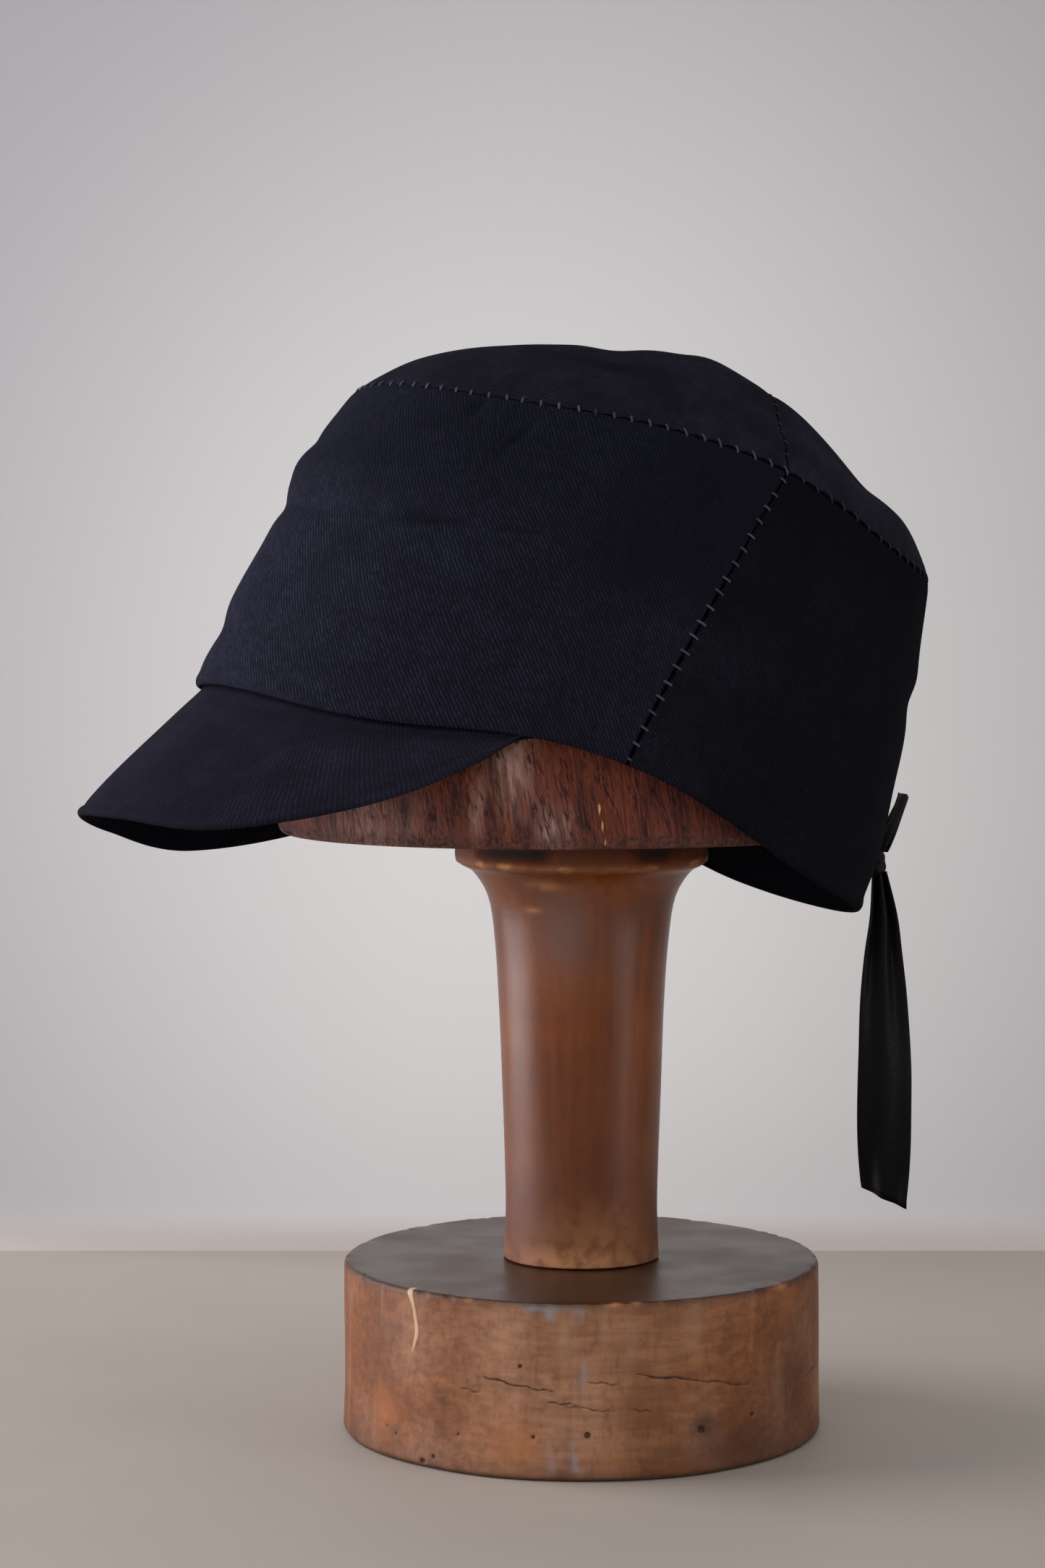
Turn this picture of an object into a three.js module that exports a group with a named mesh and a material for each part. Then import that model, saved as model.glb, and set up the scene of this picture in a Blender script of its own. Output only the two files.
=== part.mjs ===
// Field cap of black cotton twill on a turned wooden hat stand.
// The crown is sewn from four panels, two round the head and two over the top, with a short steep
// peak in front and a ribbon tied at the back. The cap rests tilted back on the stand's block.
// Millimetres, +Z up. The origin is the centre of the stand's underside, and the cap faces -Y.
import * as THREE from 'three';

// How the cap sits on the stand
const CAP_SEAT = new THREE.Vector3(1.5, -17, 184.1);
const CAP_TILT_BACK = THREE.MathUtils.degToRad(19);
const CAP_TILT_RIGHT = THREE.MathUtils.degToRad(5);

// Cloth and sewing
const CLOTH = 1.6;
const PEAK_THICKNESS = 2.2;
const RIBBON_THICKNESS = 1.0;
const SEAM_GAP = 0.3;
const OVAL_POWER = 2.2;

// Crown in the cap's own frame, hem near z = 0. Rows climb evenly from the hem to the top seam, and
// each gives the oval's front and back (y) and its half width (x).
const WALL_ROWS = [
  { name: 'hem', front: -100.5, back: 101.5, halfWidth: 83.5 },
  { name: 'low', front: -99.5, back: 102.0, halfWidth: 83.3 },
  { name: 'middle', front: -95.5, back: 99.0, halfWidth: 80.5 },
  { name: 'high', front: -93.0, back: 96.5, halfWidth: 75.5 },
  { name: 'top seam', front: -85.5, back: 92.5, halfWidth: 66.5 },
];
// Heights every 30 degrees round half the ring, from the front to the back
const HEM_HEIGHTS = [2.5, 3, 5.5, 14.5, 7, 1, 0.5];
const SEAM_HEIGHTS = [99, 100.5, 103.5, 109, 105.5, 99.5, 100.5];
// Share of the climb from the top seam to the crest, on rings that close in on the crest
const CREST_HEIGHT = 140;
const DOME_ROWS = [
  { name: 'top seam', front: 0, side: 0, back: 0 },
  { name: 'rim', front: 0.305, side: 0.28, back: 0.34 },
  { name: 'shoulder', front: 0.515, side: 0.52, back: 0.5 },
  { name: 'crown', front: 0.67, side: 0.81, back: 0.77 },
  { name: 'crest', front: 1, side: 1, back: 1 },
];

// Side seams lean back as they climb, and the cross seam bows forward over the top
const SIDE_SEAM = { hemY: 12.5, topY: 33, bend: 1.25 };
const CROSS_SEAM_BOW = 6;

// Folds pressed into the walls, centred at an angle from the front and a share of the wall's height
const WALL_FOLDS = [
  { name: 'front fullness', angle: 0, height: 0.35, angleSpread: 42, heightSpread: 0.5, push: 1.7 },
  { name: 'pinch over the peak', angle: 0, height: 0.19, angleSpread: 45, heightSpread: 0.06, push: -0.9 },
  { name: 'front crease', angle: 0, height: 0.6, angleSpread: 36, heightSpread: 0.05, push: -1.5 },
  { name: 'front roll', angle: 0, height: 0.735, angleSpread: 38, heightSpread: 0.05, push: 0.8 },
  { name: 'left crease', angle: 62, height: 0.6, angleSpread: 24, heightSpread: 0.05, push: -0.9 },
  { name: 'right crease', angle: -58, height: 0.55, angleSpread: 26, heightSpread: 0.06, push: -0.9 },
  { name: 'nape hollow', angle: 180, height: 0.16, angleSpread: 22, heightSpread: 0.1, push: -1.0 },
];
// Dents in the top, centred in plan, running at an angle from +X
const TOP_DENTS = [
  { name: 'crest dent', x: -6, y: -8, run: 25, length: 44, width: 15, push: -2.6 },
  { name: 'left slack', x: 40, y: -34, run: 60, length: 22, width: 12, push: -1.2 },
  { name: 'back slack', x: 4, y: 52, run: 0, length: 40, width: 12, push: -0.8 },
];

// Peak edge from the middle to the left corner. Lean lifts the left side and drops the right one.
const PEAK_CORNER_ANGLE = THREE.MathUtils.degToRad(83);
const PEAK_EDGE = [
  { name: 'middle', x: 0, y: -123.2, z: -43.6, lean: 0 },
  { name: 'inner', x: 37, y: -112.8, z: -43.3, lean: 1.7 },
  { name: 'outer', x: 62, y: -86.5, z: -39.5, lean: 3 },
  { name: 'flank', x: 77.5, y: -46, z: -18, lean: 2.7 },
  { name: 'corner', x: 82.5, y: -14.5, z: 10, lean: 0 },
];
const PEAK_BULGE = 0.8;
const PEAK_BULGE_LIFT = 0.4;
const PEAK_INSET = 0.5;

// Ribbon ends: a row for each section along the ribbon's middle. Turn is the angle of its width from +Y.
const RIBBON_SIDE = 0;
const RIBBON_CUP = 0.08;
const LONG_END = [
  { y: 88.8, z: 160.4, width: 4.6, turn: 0 },
  { y: 90, z: 145.6, width: 9.2, turn: 4 },
  { y: 90.8, z: 124.6, width: 14.2, turn: 8 },
  { y: 91, z: 106.6, width: 15.8, turn: 4 },
  { y: 91, z: 88.6, width: 15.8, turn: -12 },
  { y: 91.6, z: 65.6, width: 15.8, turn: -46 },
];
const SHORT_END = [
  { y: 90.6, z: 172.3, width: 6, turn: 84 },
  { y: 93.6, z: 179.6, width: 10.5, turn: 80 },
  { y: 97.4, z: 187.6, width: 14, turn: 76 },
];
const KNOT = { y: 88.75, z: 166.6, across: 5, deep: 3.9, tall: 5.9 };

// Stand: a block for the head, a turned column with a collar, and a round base
const BASE_RADIUS = 70;
const BASE_HEIGHT = 50;
const BASE_FLARE = 0.7;
const EDGE_ROUND = 1.5;
const BLOCK_BOTTOM = 177.3;
const COLUMN_PROFILE = [
  { name: 'foot', radius: 22.3, z: BASE_HEIGHT + SEAM_GAP },
  { name: 'foot ring', radius: 22.2, z: 54 },
  { name: 'waist', radius: 22, z: 65.5 },
  { name: 'lower shaft', radius: 22.4, z: 82.5 },
  { name: 'middle shaft', radius: 23.1, z: 103 },
  { name: 'upper shaft', radius: 24, z: 123.5 },
  { name: 'neck', radius: 25.4, z: 143.6 },
  { name: 'flare', radius: 27.4, z: 156.6 },
  { name: 'cove', radius: 32, z: 165.1 },
  { name: 'under collar', radius: 36, z: 168.2 },
  { name: 'collar', radius: 37.2, z: 170 },
  { name: 'collar top', radius: 37.2, z: BLOCK_BOTTOM - SEAM_GAP },
];
const BLOCK_ROWS = [
  { name: 'underside', z: BLOCK_BOTTOM, front: -86, back: 78, halfWidth: 73 },
  { name: 'bottom edge', z: 179.6, front: -89, back: 81, halfWidth: 76 },
  { name: 'side', z: 205.6, front: -88.5, back: 82, halfWidth: 75.5 },
  { name: 'upper side', z: 232.6, front: -85, back: 82, halfWidth: 73 },
  { name: 'shoulder', z: 255.6, front: -79, back: 79, halfWidth: 67 },
  { name: 'brow', z: 276.6, front: -69, back: 70, halfWidth: 58 },
  { name: 'dome', z: 293.6, front: -55, back: 55, halfWidth: 46 },
  { name: 'upper dome', z: 307.6, front: -37, back: 37, halfWidth: 31 },
  { name: 'crest', z: 314.3, front: -18, back: 18, halfWidth: 15 },
];
const BLOCK_CREST = 315.8;

// How finely the solids are faceted
const WALL_STEPS = 12;
const FRONT_COLUMNS = 44;
const BACK_COLUMNS = 40;
const TOP_SPOKES = 48;
const TOP_ARC_SPOKES = 30;
const TOP_RINGS = 6;
const PEAK_COLUMNS = 34;
const PEAK_STEPS = 5;
const RIBBON_STEPS = 18;
const RIBBON_COLUMNS = 3;
const ROUND_STEPS = 44;
const KNOT_SIDES = 16;
const KNOT_RINGS = 10;
const SLOPE_STEP = 1e-3;

const twill = (hex) => new THREE.MeshStandardMaterial({ color: hex, roughness: 0.92, metalness: 0 });
const wood = (hex, roughness) => new THREE.MeshStandardMaterial({ color: hex, roughness, metalness: 0 });

// Superellipse point on a ring: 0 is the front (-Y), a quarter turn is the left (+X)
function ovalPoint({ front, back, halfWidth }, angle) {
  const power = 2 / OVAL_POWER;
  const bend = (t) => Math.sign(t) * Math.abs(t) ** power;
  const middle = (front + back) / 2;
  return { x: halfWidth * bend(Math.sin(angle)), y: middle - ((back - front) / 2) * bend(Math.cos(angle)) };
}

// Cosine series through heights spaced evenly from the front to the back, the same on both sides
function heightRound(heights, angle) {
  const last = heights.length - 1;
  let sum = 0;
  for (let wave = 0; wave <= last; wave++) {
    let weight = 0;
    heights.forEach((height, station) => {
      const end = station === 0 || station === last ? 0.5 : 1;
      weight += end * height * Math.cos((Math.PI * station * wave) / last);
    });
    const edge = wave === 0 || wave === last ? 0.5 : 1;
    sum += ((2 * edge) / last) * weight * Math.cos(wave * angle);
  }
  return sum;
}

// Smooth curve through three named columns of a table
function tableCurve(rows, columns) {
  const points = rows.map((row) => new THREE.Vector3(...columns.map((column) => row[column])));
  return new THREE.CatmullRomCurve3(points, false, 'catmullrom', 0.5);
}

const wallCurve = tableCurve(WALL_ROWS, ['front', 'back', 'halfWidth']);
const domeCurve = tableCurve(DOME_ROWS, ['front', 'side', 'back']);
const topSeam = WALL_ROWS[WALL_ROWS.length - 1];
const topCentre = (topSeam.front + topSeam.back) / 2;

function wallOval(height) {
  const columns = wallCurve.getPoint(height);
  return { front: columns.x, back: columns.y, halfWidth: columns.z };
}

// Sum of the folds at a place on the wall, each a smooth bell in angle and height
function wallFoldPush(angle, height) {
  let push = 0;
  for (const fold of WALL_FOLDS) {
    const turn = THREE.MathUtils.radToDeg(angle) - fold.angle;
    const nearest = THREE.MathUtils.euclideanModulo(turn + 180, 360) - 180;
    const across = (nearest / fold.angleSpread) ** 2 + ((height - fold.height) / fold.heightSpread) ** 2;
    push += fold.push * Math.exp(-across);
  }
  return push;
}

// Outer face of the wall at an angle from the front and a share of its height
function wallPoint(angle, height) {
  const { x, y } = ovalPoint(wallOval(height), angle);
  const low = heightRound(HEM_HEIGHTS, angle);
  const high = heightRound(SEAM_HEIGHTS, angle);
  const point = new THREE.Vector3(x, y, low + (high - low) * height);
  const outward = new THREE.Vector3(x, y, 0).normalize();
  return point.addScaledVector(outward, wallFoldPush(angle, height));
}

// Sum of the dents at a place on the top, fading to nothing at the seam
function topDentPush(x, y, reach) {
  let push = 0;
  for (const dent of TOP_DENTS) {
    const run = THREE.MathUtils.degToRad(dent.run);
    const along = (x - dent.x) * Math.cos(run) + (y - dent.y) * Math.sin(run);
    const across = (y - dent.y) * Math.cos(run) - (x - dent.x) * Math.sin(run);
    push += dent.push * Math.exp(-((along / dent.length) ** 2) - (across / dent.width) ** 2);
  }
  return push * (1 - reach ** 4);
}

// Outer face of the top over a plan point. Rings of the seam's own oval close in on the crest.
function topPoint(x, y) {
  const half = (topSeam.back - topSeam.front) / 2;
  const across = Math.abs(x) / topSeam.halfWidth;
  const ahead = (topCentre - y) / half;
  const reach = Math.min(1, (across ** OVAL_POWER + Math.abs(ahead) ** OVAL_POWER) ** (1 / OVAL_POWER));
  const fair = Math.max(reach, SLOPE_STEP);
  const cosine = Math.sign(ahead) * (Math.abs(ahead) / fair) ** (OVAL_POWER / 2);
  const sine = (across / fair) ** (OVAL_POWER / 2);
  const angle = Math.atan2(sine, cosine);
  const share = domeCurve.getPoint(1 - reach * reach);
  const endShare = cosine > 0 ? share.x : share.z;
  const climb = endShare * Math.cos(angle) ** 2 + share.y * Math.sin(angle) ** 2;
  const low = heightRound(SEAM_HEIGHTS, angle);
  const z = low + (CREST_HEIGHT - low) * climb + topDentPush(x, y, reach);
  return new THREE.Vector3(x, y, z);
}

function normalFrom(alongFirst, alongSecond) {
  return new THREE.Vector3().crossVectors(alongFirst, alongSecond).normalize();
}

function wallNormal(angle, height) {
  const round = wallPoint(angle + SLOPE_STEP, height).sub(wallPoint(angle - SLOPE_STEP, height));
  const lower = Math.max(0, height - SLOPE_STEP);
  const upper = Math.min(1, height + SLOPE_STEP);
  return normalFrom(round, wallPoint(angle, upper).sub(wallPoint(angle, lower)));
}

// Slopes are taken a little inside the rim, where the rings still run on both sides
function topNormal(x, y) {
  const inset = 0.985;
  const step = 0.5;
  const inX = x * inset;
  const inY = THREE.MathUtils.lerp(topCentre, y, inset);
  const acrossX = topPoint(inX + step, inY).sub(topPoint(inX - step, inY));
  const acrossY = topPoint(inX, inY + step).sub(topPoint(inX, inY - step));
  return normalFrom(acrossX, acrossY);
}

// At the top seam both panels are cut on one mitre, so that they meet along their whole thickness
function seamMitre(angle) {
  const { x, y } = ovalPoint(topSeam, angle);
  const wall = wallNormal(angle, 1);
  const mitre = wall.clone().add(topNormal(x, y)).normalize();
  return mitre.multiplyScalar(1 / mitre.dot(wall));
}

// Faces and rim of a sheet laid out in rows and columns
function gridPatch(rows, columns) {
  const at = (row, column) => row * columns + column;
  const faces = [];
  for (let row = 0; row < rows - 1; row++) {
    for (let column = 0; column < columns - 1; column++) {
      const corner = at(row, column);
      const opposite = at(row + 1, column + 1);
      faces.push([corner, at(row, column + 1), opposite], [corner, opposite, at(row + 1, column)]);
    }
  }
  const rim = [];
  for (let column = 0; column < columns - 1; column++) rim.push(at(0, column));
  for (let row = 0; row < rows - 1; row++) rim.push(at(row, columns - 1));
  for (let column = columns - 1; column > 0; column--) rim.push(at(rows - 1, column));
  for (let row = rows - 1; row > 0; row--) rim.push(at(row, 0));
  return { faces, rim };
}

// Faces and rim of a sheet laid out in rings round its first point
function ringPatch(rings, spokes) {
  const at = (ring, spoke) => 1 + (ring - 1) * spokes + (spoke % spokes);
  const faces = [];
  for (let spoke = 0; spoke < spokes; spoke++) {
    faces.push([0, at(1, spoke), at(1, spoke + 1)]);
    for (let ring = 1; ring < rings; ring++) {
      const outer = at(ring + 1, spoke + 1);
      const inner = at(ring, spoke);
      faces.push([inner, at(ring + 1, spoke), outer], [inner, outer, at(ring, spoke + 1)]);
    }
  }
  const rim = Array.from({ length: spokes }, (_, spoke) => at(rings, spoke));
  return { faces, rim };
}

// Closed wall between two sheets with the same layout, joined round the rim
function sheetSolid(outer, inner, { faces, rim }) {
  const count = outer.length;
  const triangles = [];
  for (const [a, b, c] of faces) triangles.push(a, b, c, a + count, c + count, b + count);
  rim.forEach((start, place) => {
    const end = rim[(place + 1) % rim.length];
    triangles.push(end, start, start + count, end, start + count, end + count);
  });
  const geometry = new THREE.BufferGeometry();
  geometry.setFromPoints([...outer, ...inner]);
  geometry.setIndex(triangles);
  return geometry;
}

function pieceMesh(name, geometry, material) {
  geometry.computeVertexNormals();
  const mesh = new THREE.Mesh(geometry, material);
  mesh.name = name;
  return mesh;
}

// Angle from the front at which the left side seam crosses a height, moved along the wall by half the gap
function sideSeamAngle(height, shift) {
  const { front, back } = wallOval(height);
  const climb = Math.min(1, Math.max(0, height)) ** SIDE_SEAM.bend;
  const y = SIDE_SEAM.hemY + (SIDE_SEAM.topY - SIDE_SEAM.hemY) * climb + shift;
  const ahead = ((front + back) / 2 - y) / ((back - front) / 2);
  return Math.acos(Math.sign(ahead) * Math.abs(ahead) ** (OVAL_POWER / 2));
}

// Wall panel between two seams that are functions of the height
function wallPanel(startAngle, endAngle, columns) {
  const outer = [];
  const inner = [];
  const topHeight = 1 - SEAM_GAP / 2 / SEAM_HEIGHTS[0];
  for (let row = 0; row <= WALL_STEPS; row++) {
    const height = (row / WALL_STEPS) * topHeight;
    for (let column = 0; column <= columns; column++) {
      const share = column / columns;
      const angle = startAngle(height) * (1 - share) + endAngle(height) * share;
      const point = wallPoint(angle, height);
      const outward = row === WALL_STEPS ? seamMitre(angle) : wallNormal(angle, height);
      outer.push(point);
      inner.push(point.clone().addScaledVector(outward, -CLOTH));
    }
  }
  return sheetSolid(outer, inner, gridPatch(WALL_STEPS + 1, columns + 1));
}

function frontPanel() {
  const edge = (height) => sideSeamAngle(height, -SEAM_GAP / 2);
  return wallPanel((height) => -edge(height), edge, FRONT_COLUMNS);
}

function backPanel() {
  const edge = (height) => sideSeamAngle(height, SEAM_GAP / 2);
  return wallPanel(edge, (height) => 2 * Math.PI - edge(height), BACK_COLUMNS);
}

// Plan of the cross seam: it leaves each side seam and bows forward over the crest
function crossSeamY(x) {
  const { x: endX } = ovalPoint(topSeam, sideSeamAngle(1, 0));
  return SIDE_SEAM.topY - CROSS_SEAM_BOW * (1 - (x / endX) ** 2);
}

// Top panel inside a rim that follows the top seam between two angles and returns along the cross seam
function topPanel(startAngle, endAngle, seamShift) {
  const pullIn = 1 - SEAM_GAP / 2 / topSeam.halfWidth;
  const rim = [];
  const mitres = [];
  for (let step = 0; step <= TOP_ARC_SPOKES; step++) {
    const angle = startAngle + ((endAngle - startAngle) * step) / TOP_ARC_SPOKES;
    const { x, y } = ovalPoint(topSeam, angle);
    rim.push(new THREE.Vector2(x * pullIn, THREE.MathUtils.lerp(topCentre, y, pullIn)));
    mitres.push(seamMitre(angle));
  }
  const first = rim[0];
  const last = rim[rim.length - 1];
  for (let step = 1; step < TOP_SPOKES - TOP_ARC_SPOKES; step++) {
    const x = THREE.MathUtils.lerp(last.x, first.x, step / (TOP_SPOKES - TOP_ARC_SPOKES));
    rim.push(new THREE.Vector2(x, crossSeamY(x) + seamShift));
  }
  const heart = rim.reduce((sum, place) => sum.add(place), new THREE.Vector2()).divideScalar(rim.length);
  const outer = [topPoint(heart.x, heart.y)];
  const outward = [topNormal(heart.x, heart.y)];
  for (let ring = 1; ring <= TOP_RINGS; ring++) {
    rim.forEach((place, spoke) => {
      const { x, y } = heart.clone().lerp(place, ring / TOP_RINGS);
      const onSeam = ring === TOP_RINGS && spoke < mitres.length;
      outer.push(topPoint(x, y));
      outward.push(onSeam ? mitres[spoke] : topNormal(x, y));
    });
  }
  const inner = outer.map((point, place) => point.clone().addScaledVector(outward[place], -CLOTH));
  return sheetSolid(outer, inner, ringPatch(TOP_RINGS, rim.length));
}

function frontTop() {
  const edge = sideSeamAngle(1, -SEAM_GAP / 2);
  return topPanel(-edge, edge, -SEAM_GAP / 2);
}

function backTop() {
  const edge = sideSeamAngle(1, SEAM_GAP / 2);
  return topPanel(edge, 2 * Math.PI - edge, SEAM_GAP / 2);
}

// Free edge of the peak from the right corner (-1) to the left one (1)
function peakEdgeCurve() {
  const left = PEAK_EDGE.map(({ x, y, z, lean }) => new THREE.Vector3(x, y, z + lean));
  const right = PEAK_EDGE.slice(1).map(({ x, y, z, lean }) => new THREE.Vector3(-x, y, z - lean));
  return new THREE.CatmullRomCurve3([...right.reverse(), ...left], false, 'catmullrom', 0.5);
}

// Peak: straight ribs from just under the front panel's hem to the free edge, swelled outwards
function peakPoint(edgeCurve, side, share) {
  const angle = side * PEAK_CORNER_ANGLE;
  const root = wallPoint(angle, 0);
  root.addScaledVector(wallNormal(angle, 0), -PEAK_INSET);
  root.z -= SEAM_GAP;
  const edge = edgeCurve.getPoint((side + 1) / 2);
  const swell = PEAK_BULGE * 4 * share * (1 - share) * (1 - side ** 4);
  const outward = new THREE.Vector3(Math.sin(angle), -Math.cos(angle), PEAK_BULGE_LIFT).normalize();
  return root.lerp(edge, share).addScaledVector(outward, swell);
}

function peak() {
  const edgeCurve = peakEdgeCurve();
  const outer = [];
  const inner = [];
  for (let row = 0; row <= PEAK_STEPS; row++) {
    const share = 1 - row / PEAK_STEPS;
    for (let column = 0; column <= PEAK_COLUMNS; column++) {
      const side = (2 * column) / PEAK_COLUMNS - 1;
      const point = peakPoint(edgeCurve, side, share);
      const before = peakPoint(edgeCurve, Math.max(-1, side - SLOPE_STEP), share);
      const after = peakPoint(edgeCurve, Math.min(1, side + SLOPE_STEP), share);
      const below = peakPoint(edgeCurve, side, share + SLOPE_STEP);
      const above = peakPoint(edgeCurve, side, share - SLOPE_STEP);
      const outward = normalFrom(after.sub(before), above.sub(below));
      outer.push(point);
      inner.push(point.clone().addScaledVector(outward, -PEAK_THICKNESS));
    }
  }
  return sheetSolid(outer, inner, gridPatch(PEAK_STEPS + 1, PEAK_COLUMNS + 1));
}

// Ribbon swept along its sections, turned about the vertical and a little cupped across its width
function ribbonEnd(rows) {
  const middle = tableCurve(rows.map(({ y, z }) => ({ x: RIBBON_SIDE, y, z })), ['x', 'y', 'z']);
  const shape = tableCurve(rows, ['width', 'turn', 'z']);
  const outer = [];
  const inner = [];
  for (let step = 0; step <= RIBBON_STEPS; step++) {
    const share = step / RIBBON_STEPS;
    const { x: width, y: turn } = shape.getPoint(share);
    const angle = THREE.MathUtils.degToRad(turn);
    const across = new THREE.Vector3(-Math.sin(angle), Math.cos(angle), 0);
    const along = middle.getTangent(share);
    const facing = normalFrom(across, along);
    for (let column = 0; column <= RIBBON_COLUMNS; column++) {
      const place = column / RIBBON_COLUMNS - 0.5;
      const cup = width * RIBBON_CUP * (1 - 4 * place * place);
      const point = middle.getPoint(share).addScaledVector(across, place * width);
      point.addScaledVector(facing, cup);
      outer.push(point.clone().addScaledVector(facing, RIBBON_THICKNESS / 2));
      inner.push(point.addScaledVector(facing, -RIBBON_THICKNESS / 2));
    }
  }
  return sheetSolid(outer, inner, gridPatch(RIBBON_STEPS + 1, RIBBON_COLUMNS + 1));
}

function knot() {
  const geometry = new THREE.SphereGeometry(1, KNOT_SIDES, KNOT_RINGS);
  geometry.scale(KNOT.across, KNOT.deep, KNOT.tall);
  geometry.translate(RIBBON_SIDE, KNOT.y, KNOT.z);
  return geometry;
}

// Block: ovals stacked from the flat underside to the crest
function standBlock() {
  const points = [new THREE.Vector3(0, 0, BLOCK_BOTTOM)];
  for (const row of BLOCK_ROWS) {
    for (let step = 0; step < ROUND_STEPS; step++) {
      const { x, y } = ovalPoint(row, (2 * Math.PI * step) / ROUND_STEPS);
      points.push(new THREE.Vector3(x, y, row.z));
    }
  }
  points.push(new THREE.Vector3(0, 0, BLOCK_CREST));
  const { faces, rim } = ringPatch(BLOCK_ROWS.length, ROUND_STEPS);
  const triangles = faces.flatMap(([a, b, c]) => [a, c, b]);
  rim.forEach((start, place) => triangles.push(start, rim[(place + 1) % rim.length], points.length - 1));
  const geometry = new THREE.BufferGeometry();
  geometry.setFromPoints(points);
  geometry.setIndex(triangles);
  return geometry;
}

// Turned piece: its profile closes on the axis at both ends, and the axis is stood up along Z
function turnedPiece(profile) {
  const low = profile[0].z;
  const high = profile[profile.length - 1].z;
  const outline = [new THREE.Vector2(0, low)];
  profile.forEach(({ radius, z }) => outline.push(new THREE.Vector2(radius, z)));
  outline.push(new THREE.Vector2(0, high));
  const geometry = new THREE.LatheGeometry(outline, ROUND_STEPS);
  geometry.rotateX(Math.PI / 2);
  return geometry;
}

function standBase() {
  const foot = BASE_RADIUS + BASE_FLARE;
  return turnedPiece([
    { radius: foot - EDGE_ROUND, z: 0 },
    { radius: foot, z: EDGE_ROUND },
    { radius: BASE_RADIUS, z: BASE_HEIGHT - EDGE_ROUND },
    { radius: BASE_RADIUS - EDGE_ROUND, z: BASE_HEIGHT },
  ]);
}

const cap = new THREE.Group();
cap.position.copy(CAP_SEAT);
cap.rotation.set(-CAP_TILT_BACK, -CAP_TILT_RIGHT, 0, 'XYZ');
cap.add(
  pieceMesh('front_panel', frontPanel(), twill(0x1b1b24)),
  pieceMesh('back_panel', backPanel(), twill(0x131318)),
  pieceMesh('top_front', frontTop(), twill(0x1b1b24)),
  pieceMesh('top_back', backTop(), twill(0x131318)),
  pieceMesh('peak', peak(), twill(0x1b1b24)),
);

const model = new THREE.Group();
model.add(
  cap,
  pieceMesh('tie_knot', knot(), twill(0x0e0e12)),
  pieceMesh('tie_long_end', ribbonEnd(LONG_END), twill(0x0e0e12)),
  pieceMesh('tie_short_end', ribbonEnd(SHORT_END), twill(0x0e0e12)),
  pieceMesh('stand_block', standBlock(), wood(0x5a2f1e, 0.7)),
  pieceMesh('stand_column', turnedPiece(COLUMN_PROFILE), wood(0x6b3d1f, 0.35)),
  pieceMesh('stand_base', standBase(), wood(0x7a5233, 0.6)),
);

export default model;
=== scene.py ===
"""Looks of the field cap and its wooden stand: surfaces worked out with numpy, in procedural finishes.

Tables are in millimetres and degrees. Tables of the cap are in the cap's own frame, with its hem near
z = 0, its front along -Y and the wearer's left along +X; all others are in the frame of the stand.
Angles round the cap and the stand run from the front (-Y) to the left (+X). Meshes are in metres.
"""

import bpy
import numpy as np
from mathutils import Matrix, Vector


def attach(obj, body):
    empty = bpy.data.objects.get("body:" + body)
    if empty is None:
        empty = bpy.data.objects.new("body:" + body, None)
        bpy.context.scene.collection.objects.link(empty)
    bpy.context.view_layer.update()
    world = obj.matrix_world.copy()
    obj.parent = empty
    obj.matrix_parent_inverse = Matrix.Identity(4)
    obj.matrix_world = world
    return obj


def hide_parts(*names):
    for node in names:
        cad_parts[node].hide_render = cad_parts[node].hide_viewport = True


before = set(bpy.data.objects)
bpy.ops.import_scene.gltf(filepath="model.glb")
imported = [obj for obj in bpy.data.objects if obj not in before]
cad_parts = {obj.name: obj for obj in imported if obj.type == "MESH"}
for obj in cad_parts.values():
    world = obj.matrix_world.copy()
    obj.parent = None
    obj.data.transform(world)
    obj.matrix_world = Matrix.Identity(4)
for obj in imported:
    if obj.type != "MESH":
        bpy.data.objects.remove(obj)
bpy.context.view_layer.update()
MM = 0.001
WELD = 2e-4
# Shift that keeps points off the borders of the weld's cells
CELL_SHIFT = 0.137

# Camera: to the left and a little to the front, near the cap's height, aimed a little down
CAMERA_DISTANCE = 1086
CAMERA_HEIGHT = 259.6
CAMERA_AZIMUTH = 82.8
CAMERA_DROP = 3.66
CAMERA_AIM_LEFT = 0.92
CAMERA_LENS = 85

# Floor and backdrop
BACKDROP_BEHIND = 283
BACKDROP_HALF_WIDTH = 230
BACKDROP_HEIGHT = 640
BACKDROP_COVE = 14
BACKDROP_STEPS = 41
# Painted pool of light in the middle of the backdrop: place across, height, spread across, spread up
PAINTED_LIGHT_POOL = (0, 195, 205, 260)
FLOOR_REACH = 750
FLOOR_SINK = 0.1
FLOOR_STEPS = 9
COVE_STEPS = 9

# Height that the lights are aimed at
LIGHT_AIM = 200
# Lights in the camera's level directions: right of the stand, ahead, height, size, watts, colour, gleams
LIGHTS = {
    "window": (-1190, 150, 430, (950, 1200), 20, (1.0, 0.985, 1.05), True),
    "fill": (1130, -600, 400, (400, 1150), 4.0, (1.0, 0.98, 0.97), True),
    "front": (-300, -1150, 200, (900, 700), 2.6, (1.0, 0.985, 0.99), False),
}
# Surroundings: from the level, from overhead, from the dim side, and as the camera sees them
WORLD_LEVEL = (0.44, 0.44, 0.45)
WORLD_OVERHEAD = (0.45, 0.45, 0.46)
WORLD_DIM = (0.25, 0.235, 0.21)
WORLD_SEEN = (0.56, 0.545, 0.56)

# How the cap sits on the stand
CAP_SEAT = np.array([1.5, -17, 184.1])
CAP_TILT_BACK = 19
CAP_TILT_RIGHT = 5

# Cloth and sewing
CLOTH = 1.6
PEAK_THICKNESS = 2.2
RIBBON_THICKNESS = 0.5
OVAL_POWER = 2.2
SEAM_DEPTH = 0.55
SEAM_REACH = 2.2
SEAM_SHADE = 0.85
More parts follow.
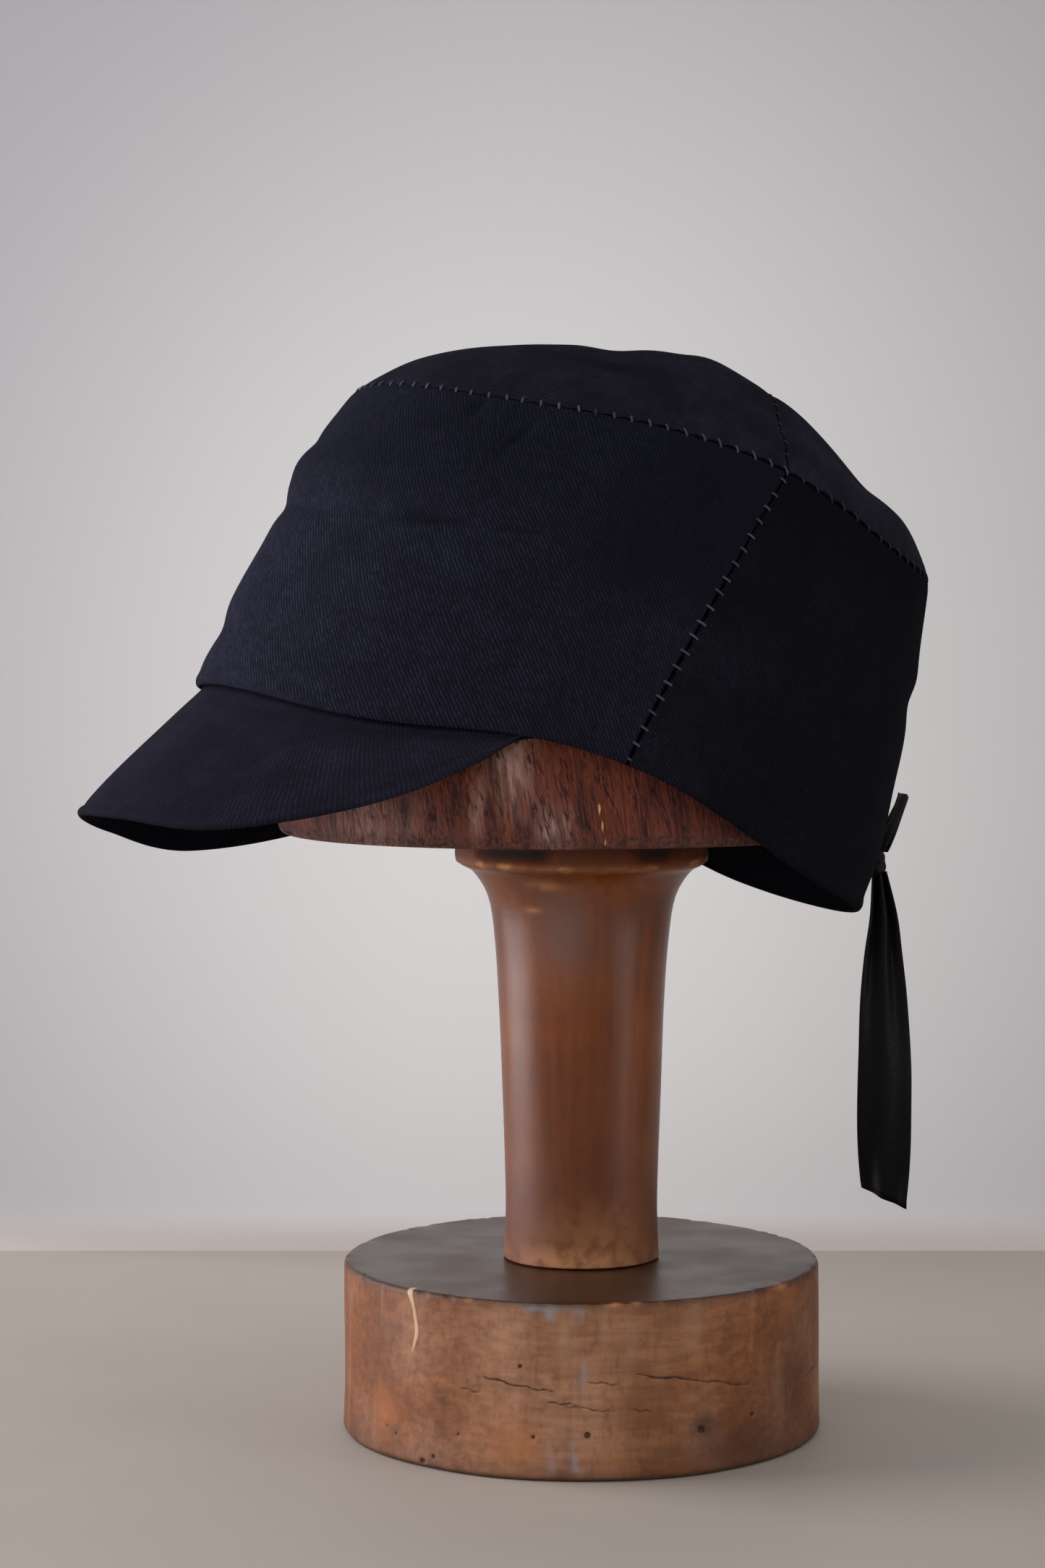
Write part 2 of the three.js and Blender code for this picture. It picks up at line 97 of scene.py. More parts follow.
# Width of the painted shade in the groove along each seam, and by how much it thins or fills out, with turns
# in radians
SIDE_GROOVE = 0.56
SIDE_GROOVE_LOSS = [(0.4, 0.75, 0.32)]
TOP_GROOVE = 0.15
TOP_GROOVE_GAIN = 0.4
TOP_GROOVE_START = 1.0
BACK_GROOVE_GAIN = 0.3
BACK_GROOVE_TURN = 0.3
CROSS_GROOVE = 0.18
GROOVE_LIMIT = 3
GROOVE_BEAD = 0.45
INNER_SHADE = 0.68
STITCH_PULL = 0.35
STITCH_PITCH = 5.2
SIDE_STITCHES = 20
SIDE_STITCH_START = 0.35
SIDE_STITCH_LEAN = 0.4
STITCH_REACH = 1.2
STITCH_LIFT = 0.7
STITCH_SINK = 0.75
STITCH_WANDER = 0.12
STITCH_SLIP = 0.22
TONE_SPREAD = 0.25
LEAST_TONE = 0.03
SEWING_SEED = 17
# Places of a stitch's two strands, in radii of the thread
STRANDS = (-0.95, 0.95)
TOP_STITCH_LEAN = 0.9
FRONT_STITCH_LOSS = 0.3
THREAD_RADIUS = 0.16
# Stitch tones: those behind the junction are painted dark as shade.
TOP_STITCH_TONE = 0.75
BACK_STITCH_SHADE_TONE = 0.07
CROSS_STITCH_TONE = 0.18
CROSS_STITCH_DROP = 0.25
CROSS_STITCH_REACH = 0.7
# Fuller middle of the side seams: height share, spread, and least and gain of the stitches' reach and tone
SIDE_MIDDLE = 0.42
SIDE_MIDDLE_SPREAD = 0.25
SIDE_STITCH_REACH = (0.9, 0.35)
SIDE_STITCH_TONE = (0.65, 0.3)
HEM_ROLL = 0.7
HEM_ROLL_RUN = 2
HEM_ROLL_SPREAD = 1.8
# Reach of the turn to the seams' mitre, and the run past which it is nothing
MITRE_REACH = 1.6
MITRE_LIMIT = 6
# Loose fibres
LINT_COUNT = 60
LINT_RADIUS = 0.035
LINT_LIFT = 0.3
LINT_SINK = 0.05

# Twill of the panels: colour, lean of the ribs, how ribbed, how mottled. The colours are lit and shaded
# copies of one cloth: the back's is darker as painted shade, the top's and the peak's paler as painted light.
TWILLS = {
    "twill_front": ((0.0142, 0.0144, 0.0248), -37, 0.88, 1.2),
    "twill_back": ((0.0098, 0.0094, 0.0145), -55, 0.7, 1.8),
    "twill_top": ((0.017, 0.0158, 0.0254), 30, 0.5, 2.6),
    "twill_peak": ((0.0175, 0.017, 0.0285), 6, 0.5, 2.0),
}
TWILL_PITCH = 0.95
TWILL_FLOAT = 1.6
# Shares of the twill's colour where it is rubbed and dulled, under painted shade, and under deeper painted
# shade in a seam's groove or inside
RUBBED = (1.5, 1.55, 1.7)
DULLED = (0.6, 0.58, 0.5)
PAINTED_SHADE_SHARE = 0.42
DEEP_SHADE_SHARE = 0.06
# Weave, on the cloth chart
WOBBLE_SIZE = 6.0
WOBBLE = 0.8
FLOAT_STEP = 0.37
BEAD_RELIEF = 0.4
YARN_RELIEF = 0.25
NAP_SIZE = 0.35
NAP_STRETCH = (1, 0.4, 1)
MOTTLE_SIZE = 16.0
PATCH_SIZE = 6.5
PATCH_STRETCH = (1, 1.4, 1)
# Grain: share of the scale along it, noise detail
GRAIN_STREAKS = {"Figure": (0.14, 3.0), "Fibre": (0.06, 3.0), "Pore": (0.17, 1.0)}
BLOTCH_SIZE = 24.0
BLOCK_GRAIN_LEAN = -6
BLOCK_CUT_LEAN = -17
VALUE, VECTOR = "NodeSocketFloat", "NodeSocketVector"

# Wall of the crown, from the hem to the top seam: front, back, half width
WALL_ROWS = [
    (-100.5, 101.5, 83.5),
    (-99.5, 102.0, 83.3),
    (-95.5, 99.0, 80.5),
    (-93.0, 96.5, 75.5),
    (-85.5, 92.5, 66.5),
]
# Heights every 30 degrees from the front to the back
HEM_HEIGHTS = [2.5, 3, 5.5, 14.5, 7, 1, 0.5]
SEAM_HEIGHTS = [99, 100.5, 103.5, 109, 105.5, 99.5, 100.5]
WALL_RISE = 97
WALL_RADIUS = 90
# Lengths round the wall's panels and across the top's, and the steps of their grids
FRONT_GIRTH = 320
BACK_GIRTH = 270
TOP_FRONT_DEPTH = 112
TOP_BACK_DEPTH = 62
WALL_STEP = 1.5
PANEL_STEP = 1.6
# Smooth random unevenness: amount, size, seed
WALL_UNEVEN = [(0.22, 46, 3), (0.07, 17, 4)]
TOP_UNEVEN = [(0.3, 40, 5), (0.08, 15, 6)]
PEAK_UNEVEN = [(0.12, 26, 8)]
CREST_HEIGHT = 140
# Share of the climb from the top seam to the crest, on rings closing in on the crest: front, side, back
DOME_ROWS = [
    (0, 0, 0),
    (0.305, 0.28, 0.34),
    (0.515, 0.52, 0.5),
    (0.67, 0.81, 0.77),
    (1, 1, 1),
]
SIDE_SEAM_HEM_Y = 12.5
SIDE_SEAM_TOP_Y = 33
SIDE_SEAM_BEND = 1.25
CROSS_SEAM_BOW = 6
TOP_CORNER = 48

# Broad folds in the wall: angle, height share, spread of angle, spread of height, push
WALL_FOLDS = [
    (0, 0.35, 42, 0.5, 1.7),
    (0, 0.06, 45, 0.06, 0.9),
    (0, 0.19, 45, 0.05, -1.1),
    (0, 0.6, 36, 0.045, -1.6),
    (0, 0.735, 38, 0.045, 0.9),
    (0, 0.81, 40, 0.03, -0.6),
    (62, 0.6, 24, 0.05, -0.9),
    (-58, 0.55, 26, 0.06, -0.9),
    (180, 0.12, 45, 0.16, 1.0),
    (180, 0.52, 40, 0.12, 0.6),
]
# Finer creases in the wall: angle, height share, run above level, length, width, push
WALL_CREASES = [
    (54, 0.597, 3, 12, 1.7, -0.85),
    (69, 0.602, -4, 11, 1.8, -0.8),
    (79, 0.568, -28, 7, 2.0, -0.6),
    (62, 0.64, -2, 22, 3.0, 0.5),
    (52, 0.725, 3, 5, 1.5, -0.65),
    (52, 0.95, 80, 4, 1.8, -1.1),
    (63, 0.88, 64, 6, 1.9, -1.15),
    (58, 0.91, 70, 6, 2.6, 0.45),
    (76, 0.24, 86, 12, 6, -0.5),
    (84, 0.3, 80, 14, 6, 0.35),
    (36, 0.42, 24, 24, 7, -0.35),
    (25, 0.56, -14, 26, 5, -0.4),
    (128, 0.55, 28, 24, 6, -0.6),
    (140, 0.3, -24, 22, 6, -0.5),
    (165, 0.62, 8, 30, 5, -0.7),
    (170, 0.7, 8, 30, 5, 0.5),
    (205, 0.45, -18, 26, 6, -0.7),
    (232, 0.6, 20, 24, 5, -0.6),
    (-40, 0.66, 8, 26, 4, -0.6),
    (-66, 0.9, 98, 7, 2.6, -0.7),
    (-30, 0.4, -22, 24, 6, -0.4),
    (-80, 0.3, 94, 13, 6, -0.5),
]
# Broad dents in the top: x, y, run from +X, length, width, push
TOP_DENTS = [
    (-6, -8, 25, 44, 15, -2.6),
    (40, -34, 60, 22, 12, -1.2),
    (4, 52, 0, 40, 12, -0.8),
    (0, -19, 0, 50, 9, -2.8),
    (0, 8, 0, 50, 10, 2.2),
    (0, -43, 0, 50, 8, 0.6),
]
# Finer creases in the top, in the same columns
TOP_CREASES = [
    (48, -24, 68, 22, 4.5, 0.9),
    (40, -22, 70, 24, 5.5, -0.8),
    (-30, -40, 130, 20, 6, -0.6),
    (12, 4, 20, 26, 6, 0.6),
    (-34, 48, 40, 22, 6, -0.7),
    (30, 58, 150, 20, 6, -0.6),
]
# Painted shade on the cloth, as smooth steps of run or height share: low end, high end, strength
FRONT_SEAM_RUN = (20, 75)
FRONT_SEAM_LEAST = 0.3
FRONT_SEAM_RISE = [(0.3, 0.65, 0.8)]
FRONT_UPPER = [(0.5, 0.8, 0.6)]
BACK_SEAM_RUN = [(6, 32, 0.7)]
BACK_UPPER = [(0.35, 0.6, 0.7), (0.7, 0.95, 0.4)]
# Depths of a crease at which its painted shade begins, and at which it is full
WALL_CREASE_SHADE = (0.1, 0.9)
TOP_CREASE_SHADE = (0.15, 0.9)
PEAK_CREASE_SHADE = (0.05, 0.45)
# Bands of painted shade on the top: y, spread, strength
TOP_SHADE_BANDS = [
    (-80, 34, 0.6),
    (-13, 9, 0.45),
    (26, 8, 0.35),
]

# Peak
PEAK_CORNER_ANGLE = 84.2
# Its free edge from the middle to the left corner: x, y, z, lean
PEAK_EDGE = [
    (0, -123.2, -43.6, 0),
    (37, -112.8, -43.3, 1.7),
    (62, -86.5, -39.5, 3),
    (77.5, -46, -17.5, 2.7),
    (82.5, -14.5, 13.2, 0),
]
PEAK_BULGE = 0.7
PEAK_BULGE_LIFT = 0.4
PEAK_BULGE_START = 0.4
PEAK_CORNER_CLOSE = 0.97
PEAK_INSET = 1.7
PEAK_DROP = 0.3
PEAK_TUCK = 0.06
PEAK_TUCK_RISE = 60
PEAK_CORNER_RISE = 2.4
PEAK_HALF_ARC = 118
PEAK_DEPTH = 46
PEAK_STEP_ROUND = 1.4
PEAK_STEP_DOWN = 1.3
# Creases in the peak: side (-1 to 1), share of its depth, run, length, width, push
PEAK_CREASES = [
    (0.55, 0.17, 10, 18, 2.6, -0.45),
    (0.6, 0.27, 14, 17, 3.0, 0.4),
    (0.42, 0.34, 18, 16, 4.0, -0.35),
    (-0.5, 0.2, -12, 18, 3.0, -0.45),
    (-0.62, 0.3, -16, 16, 3.2, 0.35),
]
PEAK_TAPER = 0.038
PEAK_ROOT_BAND = 0.11
PEAK_ROOT_SHADE = 0.9
PEAK_MIDDLE = (0.3, 0.8)
PEAK_MIDDLE_SHADE = 0.85
PEAK_RIM = 1.6
PEAK_RIM_SPREAD = 1.1
PEAK_RIM_RISE = 0.28
PEAK_RIM_GROOVE = 3.6
PEAK_GROOVE_SPREAD = 1.0

# Ribbon
RIBBON_WIDTH = 16.4
SHORT_RIBBON_WIDTH = 14.4
RIBBON_CUP = 0.08
RIBBON_FOLD = 0.4
RIBBON_STEP = 0.5
RIBBON_EDGE_STEPS = (0.08, 0.18, 0.3, 0.5)
LONG_SLANT = 0.036
LONG_STEPS = 64
SHORT_SLANT = -0.13
SHORT_STEPS = 24
# Its ends, section by section along the middle: y, z, span, turn of the width from +Y
LONG_END = [
    (88.7, 163.8, 4.4, 0),
    (90.0, 150.6, 8.4, 4),
    (90.0, 138.6, 11.8, 6),
    (90.3, 124.6, 14.8, 8),
    (90.9, 106.6, 16.2, 4),
    (91, 88.6, 16, -12),
    (91.6, 65.6, 15.8, -46),
]
SHORT_END = [
    (88.9, 169.2, 6, 40),
    (92.8, 178.6, 11, 58),
    (96.2, 186.4, 14, 64),
]
KNOT_PLACE = np.array([0, 87.7, 166.2])
KNOT_RADII = np.array([4.8, 3.3, 4.8])
# Axes of the two bands of ribbon round the knot
KNOT_SLANT = np.array([0.45, 0.2, 0.87])
KNOT_UPRIGHT = np.array([0.9, -0.1, -0.35])
# Strands along the slanted band: rise, number, spread
KNOT_STRANDS = (0.07, 9, 0.55)
# Dips beside the bands: axis of the band, depth, place along the axis, spread
KNOT_DIPS = [
    (KNOT_SLANT, 0.16, 0.5, 0.09),
    (KNOT_UPRIGHT, 0.1, 0.62, 0.1),
]
KNOT_SHRINK = 0.98
KNOT_CHART = (4.5, 5.5)

# Stand
BASE_RADIUS = 70
BASE_HEIGHT = 50
BASE_FLARE = 0.7
FOOT_SHADE = 0.6
FOOT_SHADE_RISE = 6
EDGE_ROUND = 1.5
# Ends of the finely divided stretch of the base's side, where its cracks are: radius, z
BASE_FINE_LOW = (BASE_RADIUS + BASE_FLARE - 0.4, 12)
BASE_FINE_HIGH = (BASE_RADIUS + 0.15, 36)
# Radii between which unevenness fades in from the axis, and between which the collar begins
AXIS_FADE = (0, 4)
COLLAR_RADII = (34, 36)
RING_DEPTH = 0.012
# Heights between which the painted shade on the column's foot clears
COLUMN_SHADED_FOOT = (62, 118)
# Spans of the block's table up to which its grid is fine, and from which it is coarse
BLOCK_FINE_END = 2.2
BLOCK_COARSE_START = 2.4
MARK_LIMIT = 3.0
# Smooth random unevenness of the stand: amount, size, seed
BASE_UNEVEN = [(0.1, 38, 13)]
BASE_STREAKS = [(0.03, 7, 14)]
BASE_SMUDGES = [(0.5, 6, 16), (0.3, 2.5, 17)]
BASE_CHIPS = [(1, 7, 11), (0.5, 2.6, 12)]
BASE_CLOUDS = [(0.08, 22, 18)]
COLUMN_UNEVEN = [(0.06, 34, 21)]
COLLAR_UNEVEN = [(0.03, 9, 22)]
COLLAR_CHIPS = [(1, 6, 23)]
SLOT_RAGS = [(1.5, 6, 24)]
BLOCK_UNEVEN = [(0.12, 44, 35)]
BLOCK_GOUGES = [(1, 5.5, 31)]
BLOCK_SCRATCHES = [(0.6, 2.4, 32)]
BLOCK_CHIPS = [(1, 8, 33), (0.6, 3, 34)]
# Shares of the scale up the stand that draw such fields out into upright streaks
BASE_STREAK_DRAW = (1, 1, 0.25)
GOUGE_DRAW = (1, 1, 0.1)
SCRATCH_DRAW = (1, 1, 0.16)
# Columns of points round each piece
BASE_COLUMNS = 640
COLUMN_COLUMNS = 220
BLOCK_COLUMNS = 900
# Relief of the pale runs, cracks, chips and slots
RUN_RISE = 0.1
RUN_EDGE = 0.3
CRACK_DEPTH = 0.5
CRACK_SWAY = 0.25
CRACK_SHIVER = 0.07
BASE_CHIP_DEPTH = 0.4
COLLAR_CHIP_DEPTH = 0.5
SLOT_DEPTH = 0.35
BLOCK_CHIP_DEPTH = 0.7
# Column from foot to collar: radius, z
COLUMN_ROWS = [
    (23, 50.3),
    (22.7, 54),
    (22.4, 65.5),
    (22.8, 82.5),
    (23.5, 103),
    (24.3, 123.5),
    (25.5, 143.6),
    (27.4, 156.6),
    (31.6, 164.2),
    (35.8, 167),
    (37.2, 168.8),
    (37.2, 177),
]
# Worn stretches of the column's foot and neck: angle, height, spread round, spread up, strength
COLUMN_WORN = [
    (78, 51, 17, 5, 1.0),
    (92, 60, 17, 10, 0.36),
    (51, 155, 2.2, 0.8, 0.8),
    (62, 162.5, 4, 1.4, 0.55),
    (105, 162.5, 16, 3, 0.16),
    (205, 51, 22, 3.5, 0.6),
    (310, 52, 20, 4, 0.6),
]
# Painted grey reflections on the varnish, in the same columns
COLUMN_PAINTED_REFLECTIONS = [
    (72, 149, 8, 13, 1.0),
    (110, 146, 5, 9, 0.5),
    (215, 140, 7, 14, 0.7),
]
# Dull slots round the collar: middle angle, half of its span
COLLAR_SLOTS = np.array([
    (50, 18),
    (117, 10),
    (178, 20),
    (247, 14),
    (318, 17),
])
# Block from its underside to its crest: z, front, back, half width
BLOCK_ROWS = [
    (177.3, -86, 78, 73),
    (179.6, -89, 81, 76),
    (205.6, -88.5, 82, 75.5),
    (232.6, -85, 82, 73),
    (255.6, -79, 79, 67),
    (276.6, -69, 70, 58),
    (292, -55, 55, 46),
    (304, -37, 37, 31),
    (309.5, -18, 18, 15),
]
BLOCK_CREST = 311
# Cracks in the base: first angle, last angle, first height, last height, half width
BASE_CRACKS = [
    (59.7, 69.5, 28.4, 26.2, 0.22),
    (68, 76.5, 26.6, 25.2, 0.15),
    (75, 82, 22.1, 21.7, 0.16),
    (84.4, 91.5, 28.1, 27.3, 0.13),
    (95.5, 111.5, 29.8, 26.9, 0.25),
    (110, 125, 27.2, 23.3, 0.16),
    (79, 90, 21.5, 19.6, 0.1),
    (94, 99, 20.1, 19.3, 0.1),
    (53.5, 59, 24.6, 23.6, 0.1),
    (150, 172, 20, 22, 0.3),
    (215, 240, 33, 30, 0.3),
    (236, 252, 29, 28, 0.22),
    (300, 318, 18, 21, 0.3),
]
# Nail and worm holes in the base: angle, height, radius
BASE_HOLES = [
    (68.7, 32, 0.55),
    (71.8, 12.3, 0.5),
    (84.2, 13.2, 0.85),
    (111.4, 12.9, 1.05),
    (126.4, 14.7, 0.6),
    (53.3, 11.3, 0.45),
    (46.5, 3.7, 0.7),
    (43.2, 1.8, 0.9),
    (34.3, 7.9, 0.5),
    (30.8, 9.3, 0.4),
    (160, 36, 0.6),
    (205, 12, 0.8),
    (262, 25, 0.6),
    (330, 30, 0.7),
]
# Soft spots on the base, a table for each mark: angle, height, spread round, spread up, strength
BASE_WARM_SPOTS = [
    (68, 9, 8, 8, 1.0),
    (30, 13, 6, 7, 0.9),
    (113, 3, 9, 3, 0.7),
    (89.6, 3.5, 6, 4, 0.7),
    (141, 44, 5, 6, 0.8),
    (190, 20, 14, 11, 1.0),
    (290, 12, 12, 9, 1.0),
]
# The broad row at 122 degrees, low on the side away from the window, is painted shade; the small rows are
# dark spots.
BASE_DARK_SPOTS = [
    (112, 14.5, 3, 3.5, 0.8),
    (48.7, 20.4, 2.6, 2.2, 0.6),
    (49.2, 10.9, 2, 2.5, 0.5),
    (33, 8.5, 3.5, 2.2, 0.45),
    (122, 22.7, 3, 4, 0.4),
    (122, 8, 24, 9, 0.8),
    (16, 8, 12, 9, 0.3),
    (144, 24, 14, 26, 0.6),
    (26, 30, 8, 12, 0.35),
    (225, 18, 8, 12, 0.6),
    (310, 36, 9, 9, 0.6),
]
BASE_SMEARS = [
    (81.6, 6.3, 1.8, 4.5, 1.0),
    (86.5, 3.4, 4, 1.6, 0.8),
    (76.6, 6.2, 1.8, 4, 0.6),
    (75.8, 48.7, 9, 0.9, 1.0),
    (81.9, 46.6, 1.5, 2.4, 0.9),
    (75.8, 46.9, 1.3, 2, 0.7),
    (82.5, 30, 1.8, 5, 0.5),
    (250, 46, 4, 3, 1.0),
]
BASE_BANDS = [
    (79, 41, 3, 6.5, 1.0),
    (88, 42, 1.6, 6, 0.7),
    (94, 40, 2, 8, 0.6),
    (64, 42, 2.5, 6, 0.5),
    (108, 40, 3, 8, 0.5),
    (101, 30, 3, 10, 0.35),
    (250, 38, 4, 8, 0.8),
]
BASE_RIM_SPOTS = [
    (90.3, 49.6, 2.4, 0.8, 1.0),
    (95.5, 49.8, 1.5, 0.7, 0.7),
    (100.9, 49.5, 2.2, 0.8, 1.0),
    (137.6, 49.2, 4, 1, 0.8),
    (56, 49.3, 2, 0.7, 0.6),
    (215, 49.5, 4, 0.9, 0.9),
    (320, 49.5, 3, 0.8, 0.9),
]
# Paler stretches of the base's side: angle, spread of angle, strength. The two that face the camera, at 70
# and 95 degrees, are painted light; the others are a paler tone of the wood.
BASE_TAN_AND_LIGHT = [
    (70, 25, 0.43),
    (95, 45, 0.18),
    (200, 35, 0.3),
    (265, 50, 0.5),
]
# Pale runs, from their low end: angle, height, half width
BASE_RUN = [
    (39.9, 32.6, 0.2),
    (40.6, 35, 0.45),
    (41.3, 38.2, 0.6),
    (40.9, 41.5, 0.55),
    (40.1, 45.5, 0.5),
    (38.9, 49, 0.95),
    (38.4, 51, 0.8),
]
BLOCK_RUN = [
    (87.7, 178.2, 0.26),
    (87.3, 181.2, 0.2),
    (87, 184, 0.28),
    (86.6, 186.6, 0.22),
    (86.3, 188.8, 0.42),
    (86.1, 190.2, 0.2),
]
# Patches of the block's side: angle, height, spread round, spread up, strength
BLOCK_PALE = [
    (69, 199.6, 5, 12, 1.0),
    (77, 181.6, 5, 7, 1.0),
    (42, 181, 14, 11, 0.6),
    (62, 187.6, 2, 9, 0.6),
    (205, 187.6, 9, 14, 0.8),
    (290, 193.6, 8, 16, 0.8),
]
# The broad row at 116 degrees, on the side away from the window, is painted shade; the narrow rows are dark
# streaks.
BLOCK_DARK = [
    (82.6, 191.5, 1.5, 7, 0.9),
    (85.2, 191.5, 0.9, 6, 0.7),
    (83.3, 184.6, 2.0, 2.8, 1.0),
    (53, 185.6, 2.2, 5, 1.0),
    (48, 187.6, 1.6, 3, 1.0),
    (58, 189, 3, 9, 0.9),
    (73, 184.6, 1.5, 7, 0.8),
    (98, 194.6, 2.5, 6, 0.8),
    (116, 187.6, 24, 22, 0.8),
    (160, 187.6, 6, 12, 0.8),
    (250, 189.6, 6, 12, 0.8),
]


# Arrays and shapes
def spline(rows, share):
    """Catmull-Rom curve through a table's rows: each span is a cubic whose end slopes are half the chord
    between the rows on either side, and the end rows are mirrored beyond the table."""
    rows = np.asarray(rows, float)
    rows = np.vstack([2 * rows[0] - rows[1], rows, 2 * rows[-1] - rows[-2]])
    last = len(rows) - 4
    place = np.clip(share, 0, 1) * (last + 1)
    span = np.minimum(place.astype(int), last)
    t = (place - span)[..., None]
    before, start, end, after = (rows[span + k] for k in range(4))
    bend = 2 * before - 5 * start + 4 * end - after
    return start + 0.5 * t * (end - before + t * (bend + t * (3 * (start - end) + after - before)))


def bell(distance, spread):
    """Smooth bump of height 1 that falls off with the square of the distance over the spread."""
    return np.exp(-((distance / spread) ** 2))


def ramp(value, low, high):
    """Smooth step from 0 at low to 1 at high."""
    t = np.clip((value - low) / (high - low), 0, 1)
    return t * t * (3 - 2 * t)


def unit(vectors):
    """Vectors scaled to length 1."""
    return vectors / np.maximum(np.linalg.norm(vectors, axis=-1, keepdims=True), 1e-12)


def ripple(points, size, seed, waves=20):
    """Smooth random field of about unit spread: the sum of sine waves in random directions, each about
    as long as the size given or up to twice that."""
    draw = np.random.default_rng(seed)
    way = unit(draw.normal(size=(waves, points.shape[-1])))
    way *= 2 * np.pi / size * draw.uniform(0.5, 1, (waves, 1))
    phase = draw.uniform(0, 2 * np.pi, waves)
    return np.sin(points @ way.T + phase).sum(-1) * np.sqrt(2 / waves)


def spaced(length, step, fine=(0.12, 0.28, 0.46, 0.66, 0.9, 1.3, 1.9, 2.8)):
    """Shares of a length from 0 to 1: even steps in the middle and finer ones near both ends."""
    near = np.array(fine)
    count = max(2, int(round((length - 2 * near[-1]) / step)))
    middle = np.linspace(near[-1], length - near[-1], count + 1)
    return np.concatenate([[0], near[:-1], middle, length - near[-2::-1], [length]]) / length


def facing(grid):
    """Unit normals of a grid: its slope along the columns crossed with its slope along the rows."""
    return unit(np.cross(np.gradient(grid, axis=1), np.gradient(grid, axis=0)))


def edge_runs(grid):
    """Lengths along the grid's own lines from its first row, last row, first column and last column."""
    runs = []
    for axis in (0, 1):
        step = np.linalg.norm(np.diff(grid, axis=axis), axis=-1)
        start = np.insert(np.cumsum(step, axis=axis), 0, 0, axis=axis)
        runs += [start, start.take([-1], axis) - start]
    return runs


def creases(rows, along, up):
    """Sum of slanted bells on a flat chart in millimetres. Each row gives its centre, run, length, width
    and push; distances along and across the run are scaled by its length and width."""
    push = np.zeros(np.broadcast(along, up).shape)
    for x, y, run, length, width, height in rows:
        turn = np.radians(run)
        ahead = (along - x) * np.cos(turn) + (up - y) * np.sin(turn)
        aside = (up - y) * np.cos(turn) - (along - x) * np.sin(turn)
        push += height * bell(ahead, length) * bell(aside, width)
    return push


def power(value, exponent):
    """Power of a value's size, with the value's own sign."""
    return np.sign(value) * np.abs(value) ** exponent


def turn_from(degrees, middle):
    """Shortest turn from a middle angle, between -180 and 180."""
    return (degrees - middle + 180) % 360 - 180


def off_front(angle):
    """Angle from the front in radians, the same on both sides."""
    return np.abs((angle + np.pi) % (2 * np.pi) - np.pi)


def closed_turn(columns):
    """Angles once round, the last of them put back on the first so that the grid closes."""
    angle = np.linspace(0, 2 * np.pi, columns + 1)
    angle[-1] = 0
    return angle


def uneven(points, rows):
    """Sum of smooth random fields, each row giving an amount, a size and a seed."""
    return sum(amount * ripple(points, size, seed) for amount, size, seed in rows)


def ramps(value, rows):
    """Sum of smooth steps, each row giving a low end, a high end and a strength."""
    return sum(strength * ramp(value, low, high) for low, high, strength in rows)


def oval(front, back, half_width, angle):
    """Superellipse ring: half the width times the sine and half the length times the cosine, each raised
    to 2 over the oval's power."""
    x = half_width * power(np.sin(angle), 2 / OVAL_POWER)
    y = (front + back) / 2 - (back - front) / 2 * power(np.cos(angle), 2 / OVAL_POWER)
    return x, y


def height_round(heights, angle):
    """Cosine series through heights spaced evenly from front to back, the same on both sides."""
    last = len(heights) - 1
    ends = np.ones(last + 1)
    ends[[0, last]] = 0.5
    waves = np.arange(last + 1)
    weights = 2 / last * ends * (np.cos(np.pi * np.outer(waves, waves) / last) @ (ends * heights))
    return np.cos(angle[..., None] * waves) @ weights


# Meshes and objects
def patch(points, cloth=None, turned=False, **marks):
    """Grid, or stack of grids, of points in millimetres, with its flat cloth chart and named marks."""
    return {"points": points, "cloth": cloth, "turned": turned, "marks": marks}


def patch_quads(shape, start, turned):
    """Corners of every cell of a grid, or stack of grids, whose points are counted from the start given."""
    index = start + np.arange(np.prod(shape)).reshape(-1, *shape[-2:])
    corners = [index[:, :-1, :-1], index[:, :-1, 1:], index[:, 1:, 1:], index[:, 1:, :-1]]
    quads = np.stack(corners, -1).reshape(-1, 4)
    return quads[:, ::-1] if turned else quads


def write_piece(name, patches, material):
    """One mesh object from several grids. Points that coincide are welded, so that grids close along the
    edges and poles they share, and a quad with a welded side becomes a triangle."""
    points = np.concatenate([p["points"].reshape(-1, 3) for p in patches])
    quads, start = [], 0
    for p in patches:
        shape = p["points"].shape[:-1]
        quads.append(patch_quads(shape, start, p["turned"]))
        start += int(np.prod(shape))
    quads = np.concatenate(quads)
    cells = np.rint(points / WELD + CELL_SHIFT).astype(np.int64)
    _, first, place = np.unique(cells, axis=0, return_index=True, return_inverse=True)
    welded = place.reshape(-1)[quads]
    keep = welded != np.roll(welded, -1, axis=1)
    whole = keep.sum(1) >= 3
    keep &= whole[:, None]
    counts = keep.sum(1)[whole]

    mesh = bpy.data.meshes.new(name)
    mesh.vertices.add(len(first))
    mesh.vertices.foreach_set("co", (points[first] * MM).astype(np.float32).ravel())
    mesh.loops.add(int(counts.sum()))
    mesh.loops.foreach_set("vertex_index", welded[keep].astype(np.int32))
    mesh.polygons.add(len(counts))
    loop_starts = np.concatenate([[0], np.cumsum(counts)[:-1]])
    mesh.polygons.foreach_set("loop_start", loop_starts.astype(np.int32))
    mesh.polygons.foreach_set("use_smooth", np.ones(len(counts), bool))
    if patches[0]["cloth"] is not None:
        cloth = np.concatenate([p["cloth"].reshape(-1, 2) for p in patches])
        layer = mesh.uv_layers.new(name="cloth")
        layer.uv.foreach_set("vector", cloth[quads[keep]].astype(np.float32).ravel())
    for mark in patches[0]["marks"]:
        values = np.concatenate([p["marks"][mark].ravel() for p in patches])
        attribute = mesh.attributes.new(mark, "FLOAT", "POINT")
        attribute.data.foreach_set("value", values[first].astype(np.float32))
    mesh.update(calc_edges=True)
    mesh.validate()
    mesh.materials.append(material)
    piece = bpy.data.objects.new(name, mesh)
    bpy.context.scene.collection.objects.link(piece)
    return piece


